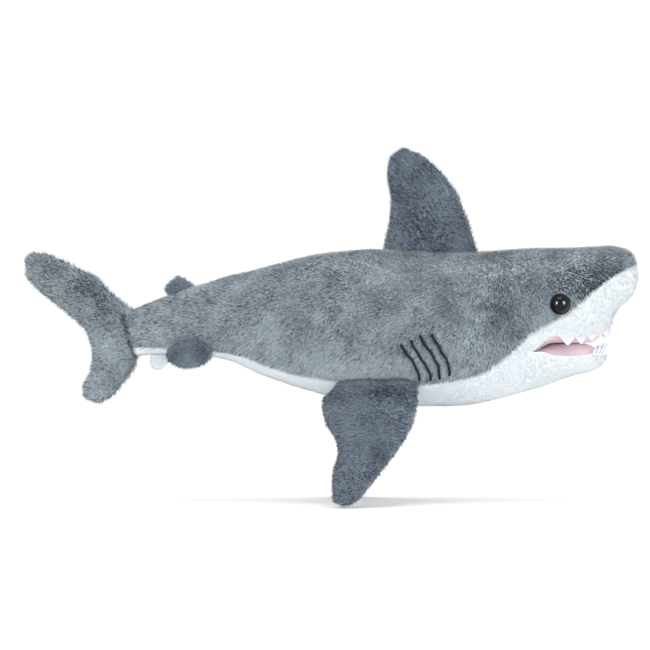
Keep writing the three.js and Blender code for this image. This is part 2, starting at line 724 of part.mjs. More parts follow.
const shark = new THREE.Group();
shark.add(buildBody(), buildJaw(), buildTailStem(), buildTailFin());
shark.add(buildDorsal(), buildSecondDorsal(), buildAnal());
for (const side of [RIGHT, LEFT]) {
  shark.add(buildPairedFin("pectoral_fin", FINS.pectoral, PECTORAL, side, true));
  shark.add(buildPairedFin("pelvic_fin", FINS.pelvic, PELVIC, side, false));
}

export default shark;
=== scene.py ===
"""Plush shark: sewn skins, plush pile, felt teeth, safety eyes and stitched gills on the CAD frame."""

import math

import bmesh
import bpy
import numpy as np
from mathutils import Matrix, Vector


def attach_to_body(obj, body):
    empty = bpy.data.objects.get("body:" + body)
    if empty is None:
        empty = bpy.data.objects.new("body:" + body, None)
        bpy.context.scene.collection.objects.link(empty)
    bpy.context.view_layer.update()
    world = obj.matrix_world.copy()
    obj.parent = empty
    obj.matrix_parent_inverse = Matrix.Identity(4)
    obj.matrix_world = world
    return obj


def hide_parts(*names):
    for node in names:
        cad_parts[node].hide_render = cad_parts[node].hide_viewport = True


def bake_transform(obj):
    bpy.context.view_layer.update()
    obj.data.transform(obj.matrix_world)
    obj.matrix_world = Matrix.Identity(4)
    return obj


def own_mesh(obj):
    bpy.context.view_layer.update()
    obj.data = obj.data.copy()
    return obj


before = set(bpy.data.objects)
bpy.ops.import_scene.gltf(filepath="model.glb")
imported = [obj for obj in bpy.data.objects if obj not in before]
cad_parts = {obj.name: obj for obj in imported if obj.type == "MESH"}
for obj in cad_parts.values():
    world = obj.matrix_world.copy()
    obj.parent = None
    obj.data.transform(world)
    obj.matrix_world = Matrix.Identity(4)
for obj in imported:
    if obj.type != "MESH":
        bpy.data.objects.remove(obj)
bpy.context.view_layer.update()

MM = 0.001
SEED = 7
RIGHT, LEFT = -1, 1
TOP = math.pi / 2

# ---- Sizes, in millimetres ----

SKIN_DEPTH = 1.5               # thickness of the sewn cloth
PILE_ROOM = 2.0                # the cloth lies this far inside the toy's outline, and the pile fills it
NOSE_X = 254
TAIL_END_X = -167
LEAST_HALF_WIDTH, LEAST_DEPTH = 0.8, 0.5       # of the cloth at the ends of a skin
NOSE_PILE = 2.0                # the pile lies back on the nose, so the cloth comes further forward there
THROAT_X = 150                 # belly skin ends and throat skin begins
CORNER_X = 171                 # corner of the mouth
MOUTH_FRONT_X = 237
JAW_END_X = 231

# Side view of the body: x, then height.
BACK = [(-168, 161), (-141, 172), (-104, 185.5), (-54, 198.5), (-5, 209), (40, 212.5),
        (100, 210.5), (150, 212.5), (200, 214), (230, 215), (243, 213), (250, 208), (254, 196)]
BELLY = [(-168, 120), (-145, 122.5), (-116, 120.5), (-92, 118), (-54, 104), (-17, 92),
         (25, 82), (70, 78), (110, 79), (145, 86), (169, 93), (190, 101), (207, 107), (220, 124),
         (230, 139), (234, 145), (237, 155), (240, 161), (245, 167), (250.5, 175.5), (254, 189)]
WIDEST = [(-168, 141), (-85, 152), (0, 148), (70, 145), (120, 148), (170, 158),
          (205, 170), (235, 184), (254, 191)]
SEAM = [(-168, 127.5), (-141, 128), (-116, 126), (-79, 121.5), (-42, 109), (0, 101),
        (50, 96.8), (95, 99.6), (124, 107), (150, 126), (165, 141), (182, 151), (201, 163),
        (218, 178), (235, 191), (247, 197.5), (254, 203)]
HALF_WIDTH = [(-168, 6.5), (-161, 11), (-150, 14.5), (-116, 24), (-85, 33), (-54, 41), (-17, 49),
              (30, 54), (80, 55), (130, 53), (170, 48.5), (200, 43), (224, 35), (238, 27), (248, 16),
              (252.5, 8), (254, 3)]
# Side view of the open mouth, and the jaw's half width.
UPPER_LIP = [(171, 127), (176, 133), (182, 137.5), (190, 139.5), (202, 138.5), (213, 139.3), (224, 142),
             (231, 144.5), (237, 155)]
LOWER_LIP = [(171, 126), (176, 126.5), (186, 123.5), (200, 123), (224, 124.5), (231, 124.5)]
JAW_UNDERSIDE = [(150, 87.5), (174, 94), (190, 100.3), (207, 105.8), (218, 109), (225, 112.5),
                 (229, 116.5), (231, 122.5)]
JAW_HALF_WIDTH = [(150, 50), (172, 43.7), (180, 41), (190, 38), (205, 33), (217, 25.5), (226, 15),
                  (229.5, 8.5), (231, 3)]
THROAT_TOP = [(150, 126), (160, 126.5), (172, 126)]
ROOF_MIDDLE = [(166, 117), (170, 122.5), (176, 129.5), (186, 133.2), (205, 133), (218, 134.2), (234, 148)]
FLOOR_MIDDLE = [(166, 126), (176, 130.4), (186, 133.3), (205, 133.6), (215, 132), (222, 128.5), (228, 124.5)]

EYE = {"x": 190, "z": 166.4, "radius": 8.7, "height": 6.8, "yaw": 11, "out": 1.6}
EYE_SIDES, THREAD_SIDES = 72, 12
GILL_LINES = [
    [(57.5, 133), (62, 126), (67, 120), (70, 115), (72, 110), (74, 102)],
    [(65.5, 137), (70, 129), (75, 121), (79, 114), (82, 108), (82.5, 102)],
    [(74, 141), (77, 134), (82, 127.5), (86, 120), (89, 114), (90.5, 103)],
    [(83, 142), (87, 135), (91, 127.5), (95.5, 120), (98, 113), (98.5, 106)],
]
GILL_THREAD = 1.05             # half width of an embroidered line
GILL_RISE = 1.3                # of its middle over the cloth's level surface
GILL_PUFF, PUFF_DISTANCE, PUFF_WIDTH = 1.1, 4.5, 2.4
GILL_DIMPLE, DIMPLE_WIDTH = 1.8, 1.7
BODY_LUMPS = [(42, 3, 2.2), (17, 4, 0.9)]      # size, random seed and height, see lumps_at
FIN_LUMPS = [(20, 5, 1.6), (9, 6, 0.7)]
SIDE_SEAM, BACK_SEAM = (1.3, 3.0), (1.0, 2.2)  # how far a seam pulls the cloth in, and its width
LIP_CREASE, LIP_CREASE_PULL = [(192, 144.5), (205, 147), (223, 151)], (0.9, 2.5)

# Flat fins: front and rear edges from root to tip, as (along the root, away from the hinge line).
FINS = {
    "dorsal": {
        "half": 8.5, "tip_half": 3.2,
        "front": [(80, -12), (76, 0), (69, 22), (61, 41), (46, 60), (30, 73), (21, 76.6)],
        "rear": [(-1, -12), (1.5, 2), (5, 18), (6, 34), (3, 54), (5, 70), (14, 76.4)],
    },
    "second_dorsal": {
        "half": 3.8, "tip_half": 2.2,
        "front": [(24, -6), (20.5, 0.5), (18, 4), (15, 7.6)],
        "rear": [(0, -6), (-2, 0.5), (1.5, 4.6), (8, 7.8)],
    },
    "pectoral": {
        "half": 8.5, "tip_half": 3.6,
        "front": [(66, -12), (67.5, 2), (66, 22), (60, 42), (47, 66), (33, 91), (23, 104.5), (17, 107)],
        "rear": [(-1, -12), (-12, 8), (-8, 26), (2, 44), (6, 62), (3, 87), (4, 102.5), (11, 107)],
    },
    "pelvic": {
        "half": 4, "tip_half": 3,
        "front": [(25, -6), (31, -1.5), (37, 4.5), (38, 7.5), (34, 14), (25, 19), (18, 19.8)],
        "rear": [(12, -6), (5, -1.5), (-0.5, 4.5), (-1.5, 8), (1, 13.5), (8, 18.5), (13, 19.8)],
    },
    "anal": {
        "half": 3.2, "tip_half": 2.4,
        "front": [(15, -6), (15, 0), (13.4, 3.5), (10.6, 6.4), (7.4, 8)],
        "rear": [(0, -6), (-0.3, 0), (0.6, 3.5), (2.6, 6.4), (5.2, 8)],
    },
    "tail": {
        "half": 7.5, "tip_half": 4,
        "front": [(86, 14.4), (91, 7.4), (100, -0.6), (111, -9), (120, -12.5), (134, -17), (150, -17),
                  (162, -8), (170, 3.4), (178, 12), (188, 21.4), (195, 35.4), (201, 48.4), (206, 59.4),
                  (208.5, 70)],
        "rear": [(85.5, 26), (89, 32), (97, 32), (110, 26), (124, 24.4), (135, 26.5), (143, 30),
                 (151, 37.5), (158, 46), (166, 55.5), (174.5, 66), (182, 74), (190, 80), (198, 80.5)],
    },
}
DORSAL = {"x": 44.5, "z": 218.5}
SECOND_DORSAL = {"x": -136, "z": 176.8, "slope": 20}
ANAL = {"x": -151, "z": 118.2}
PECTORAL = {"x": 6, "y": 37.5, "z": 90.566, "splay": 35, "yaw": 8}
PELVIC = {"x": -135.5, "y": 26, "z": 131, "splay": 30, "yaw": 0}
TAIL_HINGE_X = -173.6

# ---- Numbers that vary smoothly ----


def smooth(points):
    """A smooth function through (x, value) points, with no overshoot between them."""
    xs, ys = np.array(list(points), float).T
    slopes = np.diff(ys) / np.diff(xs)
    tangents = np.concatenate([slopes[:1], np.zeros(len(xs) - 2), slopes[-1:]])
    for i in range(1, len(xs) - 1):
        before, after = slopes[i - 1], slopes[i]
        if before * after > 0:
            tangents[i] = 2 * before * after / (before + after)

    def value(x):
        x = np.asarray(x, float)
        i = np.clip(np.searchsorted(xs, x, side="right") - 1, 0, len(xs) - 2)
        h = xs[i + 1] - xs[i]
        t = np.clip((x - xs[i]) / h, 0, 1)
        return (ys[i] * (2 * t**3 - 3 * t**2 + 1) + ys[i + 1] * (3 * t**2 - 2 * t**3)
                + h * tangents[i] * (t**3 - 2 * t**2 + t) + h * tangents[i + 1] * (t**3 - t**2))

    return value


def ease(x, low, high):
    t = np.clip((np.asarray(x, float) - low) / (high - low), 0, 1)
    return t * t * (3 - 2 * t)


def cloud(points, size, seed):
    """Smooth random numbers from 0 to 1 through space: points in millimetres, lumps about size across."""
    p = np.asarray(points, float) / size + 100.0
    cell = np.floor(p).astype(np.int64)
    f = p - cell
    f = f * f * (3 - 2 * f)
    total = np.zeros(len(p))
    for corner in range(8):
        step = np.array([corner & 1, corner >> 1 & 1, corner >> 2 & 1])
        c = cell + step
        mixed = c[:, 0] * 374761393 + c[:, 1] * 668265263 + c[:, 2] * 2147483647 + seed * 974711
        mixed = (mixed ^ (mixed >> 13)) * 1274126177
        number = ((mixed ^ (mixed >> 16)) & 0xFFFF) / 65535.0
        weight = np.prod(np.where(step, f, 1 - f), axis=1)
        total += weight * number
    return total


back, belly, widest, seam = smooth(BACK), smooth(BELLY), smooth(WIDEST), smooth(SEAM)
half_width, upper_lip, lower_lip = smooth(HALF_WIDTH), smooth(UPPER_LIP), smooth(LOWER_LIP)
jaw_underside, jaw_half_width = smooth(JAW_UNDERSIDE), smooth(JAW_HALF_WIDTH)
throat_top, roof_middle, floor_middle = smooth(THROAT_TOP), smooth(ROOF_MIDDLE), smooth(FLOOR_MIDDLE)

# ---- Meshes ----


def add_object(name, data):
    made = bpy.data.objects.new(name, data)
    bpy.context.scene.collection.objects.link(made)
    return made


def make_object(name, points, faces, material=None):
    """An object from points in millimetres."""
    mesh = bpy.data.meshes.new(name)
    mesh.from_pydata((np.asarray(points) * MM).tolist(), [], [list(map(int, f)) for f in faces])
    mesh.update()
    mesh.shade_smooth()
    if material:
        mesh.materials.append(material)
    return add_object(name, mesh)


def grid_faces(index):
    """Quads of a grid, given the numbers of its points."""
    corners = index[:-1, :-1], index[1:, :-1], index[1:, 1:], index[:-1, 1:]
    return np.stack([corner.ravel() for corner in corners], axis=1)


def tube_faces(rings, sides):
    """Quads between rings of points."""
    return [(a + k, a + (k + 1) % sides, a + sides + (k + 1) % sides, a + sides + k)
            for a in range(0, (rings - 1) * sides, sides) for k in range(sides)]


def end_caps(rings, sides):
    return [tuple(range(sides))[::-1], tuple(range((rings - 1) * sides, rings * sides))]


def unit(vectors, least=1e-9):
    """Vectors made 1 long, apart from those shorter than least."""
    return vectors / np.maximum(np.linalg.norm(vectors, axis=-1, keepdims=True), least)


def line_lengths(points):
    """How far along a line of points each point lies."""
    return np.concatenate([[0], np.cumsum(np.hypot(*np.diff(points, axis=0).T))])


def grid_normals(grid):
    return unit(np.cross(np.gradient(grid, axis=0), np.gradient(grid, axis=1)))


def outward_normals(grid):
    """The normals of a grid on the body, away from the body's middle."""
    normals = grid_normals(grid)
    return normals if np.sum(normals * away_from_middle(grid)) >= 0 else -normals


def away_from_middle(grid):
    return grid - np.stack([grid[..., 0], np.zeros(grid.shape[:2]), widest(grid[..., 0])], axis=-1)


CRISP_ANGLE = math.radians(60)


def thick_sheet(name, outer, inner, material, crisp=True):
    """A closed shell between two grids of points. If it is crisp, its edge is shaded apart."""
    points = np.concatenate([outer.reshape(-1, 3), inner.reshape(-1, 3)])
    count = len(points) // 2
    index = np.arange(count).reshape(outer.shape[:2])
    ring = np.concatenate([index[0], index[1:, -1], index[-1, -2::-1], index[-2:0:-1, 0]])
    following = np.roll(ring, -1)
    wall = np.stack([ring, following, following + count, ring + count], axis=1)
    faces = np.concatenate([grid_faces(index), grid_faces(index + count)[:, ::-1], wall])
    if signed_volume(points, faces) < 0:
        faces = faces[:, ::-1]
    sheet = make_object(name, points, faces, material)
    if crisp:
        sheet.data.set_sharp_from_angle(angle=CRISP_ANGLE)
    return sheet


def signed_volume(points, quads):
    a, b, c, d = (points[quads[:, k]] for k in range(4))
    return float(np.sum(a * (np.cross(b, c) + np.cross(c, d)))) / 6


# ---- Body surface ----


def reach_at(x, up):
    return np.where(up, back(x) - widest(x), widest(x) - belly(x))


def angle_at(x, z):
    above = np.asarray(z) > widest(x)
    return np.arcsin(np.clip((z - widest(x)) / reach_at(x, above), -1, 1))


def gill_quilting(x, z):
    """How far the cloth is pulled in at the stitched gill lines and puffs out between them."""
    nearest = np.min([distance_to_line(x, z, line) for line in GILL_LINES], axis=0)
    puff = GILL_PUFF * np.exp(-((nearest - PUFF_DISTANCE) / PUFF_WIDTH) ** 2)
    return puff - GILL_DIMPLE * np.exp(-(nearest / DIMPLE_WIDTH) ** 2)


def distance_to_line(x, z, line):
    nearest = np.inf
    for (x0, z0), (x1, z1) in zip(line[:-1], line[1:]):
        dx, dz = x1 - x0, z1 - z0
        t = np.clip(((x - x0) * dx + (z - z0) * dz) / (dx * dx + dz * dz), 0, 1)
        nearest = np.minimum(nearest, np.hypot(x - x0 - t * dx, z - z0 - t * dz))
    return nearest


def body_point(x, angle, side, rise=0.0):
    """Points of the skin. rise lifts them off the cloth's level surface."""
    x, angle = np.broadcast_arrays(np.asarray(x, float), np.asarray(angle, float))
    depth = PILE_ROOM - rise
    width = np.maximum(half_width(x) - depth, LEAST_HALF_WIDTH)
    height = np.maximum(reach_at(x, angle > 0) - depth, LEAST_DEPTH)
    y = side * width * np.cos(angle)
    z = widest(x) + height * np.sin(angle)
    return np.stack([x + NOSE_PILE * ease(x, 238, NOSE_X), y, z], axis=-1)


def lumps_at(points, lumps):
    """Smooth ups and downs at points. Each kind of lump: its size, random seed and full height."""
    flat = points.reshape(-1, 3)
    rise = sum((cloud(flat, size, seed) - 0.5) * height for size, seed, height in lumps)
    return rise.reshape(points.shape[:-1])


def with_details(grid, seams):
    """Adds the soft lumps of the filling, the gill quilting and the pull of the seams."""
    rise = lumps_at(grid, BODY_LUMPS) + gill_quilting(grid[..., 0], grid[..., 2]) + filled_rise(grid)
    for distance, (depth, width) in seams:
        rise -= depth * np.exp(-(distance / width) ** 2)
    return grid + outward_normals(grid) * rise[..., None]


def arc_stations(curve, low, high, step):
    """x values spaced evenly along a side-view curve."""
    fine = np.linspace(low, high, 1500)
    length = line_lengths(np.stack([fine, curve(fine)], axis=1))
    return np.interp(np.linspace(0, length[-1], int(length[-1] / step)), length, fine)


# ---- Materials ----


CLOTH_SPECULAR = 0.08
PATCH_SCALE = 28
GRAIN_SHARE, GRAIN_DEPTH = 0.45, 0.0004        # in a cloth's colour, and in metres


def new_material(name, roughness, sheen=0.0):
    material = bpy.data.materials.new(name)
    material.use_nodes = True
    shader = material.node_tree.nodes["Principled BSDF"]
    shader.inputs["Roughness"].default_value = roughness
    shader.inputs["Sheen Weight"].default_value = sheen
    shader.inputs["Sheen Roughness"].default_value = 0.5
    shader.inputs["Specular IOR Level"].default_value = CLOTH_SPECULAR
    return material, material.node_tree, shader


def add_ramp(tree, factor, stops):
    ramp = tree.nodes.new("ShaderNodeValToRGB")
    while len(ramp.color_ramp.elements) < len(stops):
        ramp.color_ramp.elements.new(0.5)
    for element, (place, colour) in zip(ramp.color_ramp.elements, stops):
        element.position = place
        element.color = (*colour, 1)
    tree.links.new(factor, ramp.inputs[0])
    return ramp.outputs[0]


def add_noise(tree, scale, detail=3.0):
    noise = tree.nodes.new("ShaderNodeTexNoise")
    place = tree.nodes.new("ShaderNodeTexCoord")
    noise.inputs["Scale"].default_value = scale
    noise.inputs["Detail"].default_value = detail
    tree.links.new(place.outputs["Object"], noise.inputs["Vector"])
    return noise.outputs["Fac"]


def cloth_material(name, dark, light, roughness=0.95, sheen=0.2, grain=900, bump=0.3):
    """Woven or felted cloth: patches of two shades, a fine grain and its bump."""
    material, tree, shader = new_material(name, roughness, sheen)
    mix = tree.nodes.new("ShaderNodeMath")
    mix.operation = "MULTIPLY_ADD"
    mix.inputs[1].default_value = GRAIN_SHARE
    tree.links.new(add_noise(tree, grain), mix.inputs[0])
    tree.links.new(add_noise(tree, PATCH_SCALE), mix.inputs[2])
    colour = add_ramp(tree, mix.outputs[0], [(0.45, dark), (0.95, light)])
    tree.links.new(colour, shader.inputs["Base Color"])
    relief = tree.nodes.new("ShaderNodeBump")
    relief.inputs["Strength"].default_value = bump
    relief.inputs["Distance"].default_value = GRAIN_DEPTH
    tree.links.new(add_noise(tree, grain), relief.inputs["Height"])
    tree.links.new(relief.outputs[0], shader.inputs["Normal"])
    return material


def plain_material(name, dark, light, roughness, specular=0.5, scale=60, detail=2):
    """Hard surfaces: two close shades in soft patches."""
    material, tree, shader = new_material(name, roughness)
    colour = add_ramp(tree, add_noise(tree, scale, detail), [(0.3, dark), (0.7, light)])
    tree.links.new(colour, shader.inputs["Base Color"])
    shader.inputs["Specular IOR Level"].default_value = specular
    return material


def pile_shades(name, dark, light, count):
    """Plain shades of plush, from dark to light. The random patches and the painted nap and crease shade
    come from which tuft has which.
    """
    shades = []
    for k in range(count):
        material, _, shader = new_material(f"{name}_{k + 1}", 0.85, 0.25)
        share = k / (count - 1)
        colour = [d + (l - d) * share for d, l in zip(dark, light)]
        shader.inputs["Base Color"].default_value = (*colour, 1)
        shades.append(material)
    return shades


# The darkest and the lightest shade of each plush, and how many shades its pile has.
PLUSH = {
    "grey": ((0.038, 0.055, 0.08), (0.545, 0.625, 0.685), 7),
    "slate": ((0.022, 0.034, 0.055), (0.29, 0.355, 0.43), 7),
    "white": ((0.79, 0.845, 0.885), (0.85, 0.905, 0.94), 4),
}
CLOTHS = {kind: (cloth_material(f"{kind}_cloth", dark, light), f"{kind}_plush")
          for kind, (dark, light, _) in PLUSH.items()}
SHADES = {kind: pile_shades(f"{kind}_pile", *look) for kind, look in PLUSH.items()}
pink_cloth = cloth_material("pink_cloth", (0.60, 0.46, 0.51), (0.84, 0.70, 0.75), grain=1500)
felt_cloth = cloth_material("felt_cloth", (0.68, 0.71, 0.86), (0.80, 0.83, 0.94), grain=1200, bump=0.5)
thread_cloth = cloth_material("thread_cloth", (0.004, 0.005, 0.008), (0.022, 0.025, 0.032), 0.7, 0.0, 2500)
eye_gloss = plain_material("eye_gloss", (0.001, 0.001, 0.0015), (0.003, 0.003, 0.004), 0.04, specular=0.24)
eye_rim = plain_material("eye_rim", (0.003, 0.003, 0.004), (0.008, 0.008, 0.010), 0.4, specular=0.08)
washer_plastic = plain_material("washer_plastic", (0.60, 0.60, 0.57), (0.72, 0.72, 0.69), 0.45)

# ---- Plush pile ----

# Tufts on each square millimetre, their length, width and lean, in millimetres and degrees.
PILES = {
    "grey": {"density": 1.75, "length": 3.3, "width": 0.54, "lean": 46, "mottle": 0.32, "swirl": 0.5},
    "slate": {"density": 1.7, "length": 3.3, "width": 0.56, "lean": 46, "mottle": 0.38, "swirl": 0.5},
    "white": {"density": 1.4, "length": 1.7, "width": 0.6, "lean": 56, "mottle": 0.2, "swirl": 0.2},
}
NAP_SWIRLS = [(26, 21, 2.0), (9, 22, 1.2)]     # in radians
NAP_LEANS = [(18, 23, 40)]                     # in degrees
PLAIN_SHADE, SHADE_PATCHES = 0.6, [(26, 11, 0.36), (8, 12, 0.34)]
SHINE_ALONG_TUFT = 0.45        # how much a tuft's own slope shows in its shading
LARGEST_PILE = 46000           # tufts in one object
# Painted nap shade: patches painted darker where the nap is brushed the other way: middle x and z, half
# length, half height, depth of the painted shade. Those below zero lie the other way and are painted
# lighter.
PAINTED_NAP_SHADE = [
    # head
    (221, 187, 25, 12, 1.0), (196, 181, 15, 10, 0.5), (151, 184, 24, 9, 0.42), (141, 160, 11, 24, 0.4),
    (150, 140, 14, 8, 0.25), (128, 161, 7, 9, 0.3), (110, 134, 9, 10, 0.2),
    # sides
    (57, 178, 24, 9, 0.2), (48, 163, 15, 8, 0.36), (24, 152, 10, 11, 0.42), (9, 182, 15, 11, 0.5),
    (34, 171, 11, 10, 0.25), (82, 148, 6, 8, 0.35), (-20, 178, 9, 8, 0.3), (-101, 163, 7, 18, 0.34),
    (-91, 141, 6, 8, 0.25), (-60, 172, 12, 8, 0.08), (100, 150, 12, 8, 0.1),
    (48, 194, 10, 7, -0.35), (88, 196, 26, 7, -0.2), (-76, 181, 7, 6, -0.28), (-50, 155, 11, 11, -0.26),
    (-20, 122, 24, 9, -0.15), (24, 110, 62, 10, -0.3), (-133, 134, 16, 8, -0.18),
    # tail
    (-188, 168, 9, 9, 0.6), (-204, 181, 17, 12, 0.4), (-183, 147, 8, 13, 0.3), (-226, 198, 10, 6, 0.2),
    (-172, 112, 9, 11, -0.25),
    # dorsal fin
    (72, 224, 26, 12, 0.34), (70, 246, 20, 24, 0.26), (94, 212, 8, 8, 0.3), (62, 222, 8, 6, -0.35),
    # pectoral fins
    (40, 93, 24, 6, 0.5), (60, 75, 8, 20, 0.28), (30, 56, 7, 10, -0.3), (32, 30, 10, 8, 0.3),
    # pelvic fins
    (-127, 126, 6, 7, 0.3), (-106, 127, 6, 7, 0.36), (-116, 120, 6, 9, -0.5),
]
# Painted crease shade: dark lines painted where creases fall, as a line's x and z points, and how dark they
# are painted.
PAINTED_CREASE_SHADE = [
    ([(-172.5, 156), (-170.5, 145), (-167, 133), (-162.5, 122)], 0.7),
    ([(-113, 173), (-108, 158), (-107, 140)], 0.22),
    ([(-131, 158), (-128.5, 145), (-128, 137)], 0.18),
]
CREASE_SHADE_WIDTH = 1.9


def read_points(piece):
    points = np.empty(len(piece.data.vertices) * 3)
    piece.data.vertices.foreach_get("co", points)
    return points.reshape(-1, 3) / MM


def outer_triangles(piece, layer_faces):
    """The corners of the outer face's triangles, in millimetres, and the outer face's own normals there."""
    points = read_points(piece)
    quads = np.array([list(p.vertices) for p in piece.data.polygons[:layer_faces]])
    normals = np.zeros_like(points)
    upright = np.cross(points[quads[:, 2]] - points[quads[:, 0]], points[quads[:, 3]] - points[quads[:, 1]])
    for k in range(4):
        np.add.at(normals, quads[:, k], upright)
    normals = unit(normals)
    triangles = np.concatenate([quads[:, [0, 1, 2]], quads[:, [0, 2, 3]]])
    return points[triangles], normals[triangles]


def tufts(roots, normals, kind, rng, flow):
    """Points and faces of one thin closed spike per root, leaning along the nap."""
    look = PILES[kind]
    count = len(roots)
    along = unit(flow - normals * np.einsum("ij,ij->i", flow, normals)[:, None], 1e-6)
    across = np.cross(normals, along)
    swirl = lumps_at(roots, NAP_SWIRLS) * look["swirl"] + rng.normal(0, 0.26, count)
    heading = along * np.cos(swirl)[:, None] + across * np.sin(swirl)[:, None]
    lean = look["lean"] + lumps_at(roots, NAP_LEANS) * look["swirl"] + rng.normal(0, 7, count)
    lean = np.clip(np.radians(lean), 0.1, 1.35)
    reach = look["length"] * (0.75 + 0.5 * rng.random(count))
    direction = normals * np.cos(lean)[:, None] + heading * np.sin(lean)[:, None]
    sideways = unit(np.cross(direction, normals), 1e-6)
    third = np.cross(direction, sideways)
    spin = rng.random(count) * 2 * math.pi
    corners = []
    for k in range(3):
        turn = spin + k * 2 * math.pi / 3
        offset = sideways * np.cos(turn)[:, None] + third * np.sin(turn)[:, None]
        corners.append(roots - normals * 0.25 + offset * look["width"] / 2)
    corners.append(roots + direction * reach[:, None])
    points = np.stack(corners, axis=1).reshape(-1, 3)
    soft = unit(np.repeat(normals - SHINE_ALONG_TUFT * third, 4, axis=0))
    base = np.arange(count)[:, None] * 4
    faces = np.stack([base + f for f in ([0, 2, 1], [0, 1, 3], [1, 2, 3], [2, 0, 3])], axis=1).reshape(-1, 3)
    return points, faces, soft


def body_nap(roots):
    """The pile lies back and down on the body, and down and forwards on the head."""
    turn = np.radians(20 + 28 * ease(roots[:, 0], -160, -20) + 68 * ease(roots[:, 0], 90, 165))
    return np.stack([-np.cos(turn), np.zeros(len(roots)), -np.sin(turn)], axis=1)


def painted_shade(x, z):
    """Painted shade: where the nap is brushed the other way the plush is painted darker, and along creases
    too.
    """
    total = np.zeros(len(x))
    for px, pz, rx, rz, depth in PAINTED_NAP_SHADE:
        total += depth * np.exp(-((x - px) / rx) ** 2 - ((z - pz) / rz) ** 2)
    for line, depth in PAINTED_CREASE_SHADE:
        total += depth * np.exp(-(distance_to_line(x, z, line) / CREASE_SHADE_WIDTH) ** 2)
    return total


def pile_on(piece, kind, layer_faces, seed, flow):
    """Plush pile rooted on the outer face of a skin. Returns its objects."""
    corners, normals = outer_triangles(piece, layer_faces)
    first, second, third = corners.transpose(1, 0, 2)
    areas = np.linalg.norm(np.cross(second - first, third - first), axis=1) / 2
    rng = np.random.default_rng(SEED + seed)
    density = PILES[kind]["density"] * 1.0
    count = int(areas.sum() * density)
    chosen = rng.choice(len(areas), size=count, p=areas / areas.sum())
    mix = rng.dirichlet((1, 1, 1), count)[:, :, None]
    roots = (corners[chosen] * mix).sum(axis=1)
    upright = unit((normals[chosen] * mix).sum(axis=1))
    order = np.argsort(roots[:, 0], kind="stable")
    roots, upright = roots[order], upright[order]
    shade = PLAIN_SHADE + lumps_at(roots, SHADE_PATCHES)
    # dark is painted nap and crease shade, taken off the tufts' colour; the random mottle is weaker where it
    # is.
    dark = painted_shade(roots[:, 0], roots[:, 2])
    mottle = PILES[kind]["mottle"] * (1 - 0.45 * np.clip(dark, 0, 1))
    shade = np.clip(shade - dark + mottle * rng.normal(0, 1, len(roots)), 0, 0.999)
    slots = (shade * len(SHADES[kind])).astype(int)
    made = []
    parts = max(1, math.ceil(len(roots) / LARGEST_PILE))
    for k, share in enumerate(np.array_split(np.arange(len(roots)), parts)):
        nap = flow(roots[share]) if callable(flow) else np.broadcast_to(flow, (len(share), 3))
        points, faces, soft = tufts(roots[share], upright[share], kind, rng, nap)
        name = f"{piece.name}_pile_{k + 1}" if parts > 1 else f"{piece.name}_pile"
        made.append(fast_object(name, points, faces, SHADES[kind], np.repeat(slots[share], 4), soft))
    return made


def fast_object(name, points, triangles, materials, slots, normals):
    mesh = bpy.data.meshes.new(name)
    mesh.vertices.add(len(points))
    mesh.vertices.foreach_set("co", (points * MM).ravel())
    mesh.loops.add(len(triangles) * 3)
    mesh.loops.foreach_set("vertex_index", triangles.ravel().astype(np.int32))
    mesh.polygons.add(len(triangles))
    mesh.polygons.foreach_set("loop_start", np.arange(0, len(triangles) * 3, 3, dtype=np.int32))
    for material in materials:
        mesh.materials.append(material)
    mesh.polygons.foreach_set("material_index", slots.astype(np.int32))
    mesh.update(calc_edges=True)
    mesh.shade_smooth()
    # Tufts are shaded as one soft surface, as the skin under them is.
    mesh.normals_split_custom_set_from_vertices(normals)
    return add_object(name, mesh)


# ---- Attaching ----

# Joints that skins lie across: the bodies on its two sides, and where the bend starts and ends. The skins
# are not bent here.
BENDS = {
    "tail": ("body", "tail_stem", (-62, 0, 150), (-108, 0, 150)),
    "jaw": ("body", "lower_jaw", (156, 0, 105), (184, 0, 112)),
}


def attach(piece, holder):
    """holder is a body's name, or a bend: (body a, body b, start, end) in millimetres. A piece on a bend is
    not attached to a body; only its transform is baked in.
    """
    if isinstance(holder, str):
        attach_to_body(piece, holder)
    else:
        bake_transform(piece)


def dress(skin, kind, holder, nodes, layer_faces, seed, flow=body_nap):
    """Gives a skin its pile, attaches both, and lets the skin stand for its CAD nodes."""
    for piece in (skin, *pile_on(skin, kind, layer_faces, seed, flow)):
        attach(piece, holder)
    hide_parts(*nodes)


def sew_skin(name, grid, kind, holder, nodes, seed):
    """A cloth panel of the body with its pile. The grid is its outer face."""
    skin = thick_sheet(name, grid, grid - outward_normals(grid) * SKIN_DEPTH, CLOTHS[kind][0])
    rows, columns = grid.shape[:2]
    dress(skin, kind, holder, nodes, (rows - 1) * (columns - 1), seed)


# ---- Filling ----

FILL_FRAMES = 20
CLOTH_SETTINGS = {"quality": 5, "mass": 0.3, "tension_stiffness": 15, "compression_stiffness": 15,
                  "bending_stiffness": 0.3, "use_pressure": True, "uniform_pressure_force": 4.0,
                  "vertex_group_mass": "held"}
FIN_SWELL = 3.0                # the most that a point of a fin may move
BODY_SWELL = 1.7               # the same for the plain body form, which may be dented less than that
LARGEST_DENT = 0.5
EVENING_PASSES = 6
BODY_SETTLE = 0.6              # the whole body lies this much lower after filling, apart from the tail
BODY_RING = 36                 # points from the belly's middle up to the back's, on each side
FORM_STEP, FORM_END_X = 5.5, 250


def sew(piece, held):
    """Makes the piece cloth under pressure from its filling. The held points are its seams."""
    group = piece.vertex_groups.new(name="held")
    group.add([int(point) for point in held], 1.0, "REPLACE")
    cloth = piece.modifiers.new("filling", "CLOTH")
    for name, value in CLOTH_SETTINGS.items():
        setattr(cloth.settings, name, value)
    cloth.settings.effector_weights.gravity = 0
    cloth.collision_settings.use_collision = False
    cloth.point_cache.frame_end = FILL_FRAMES


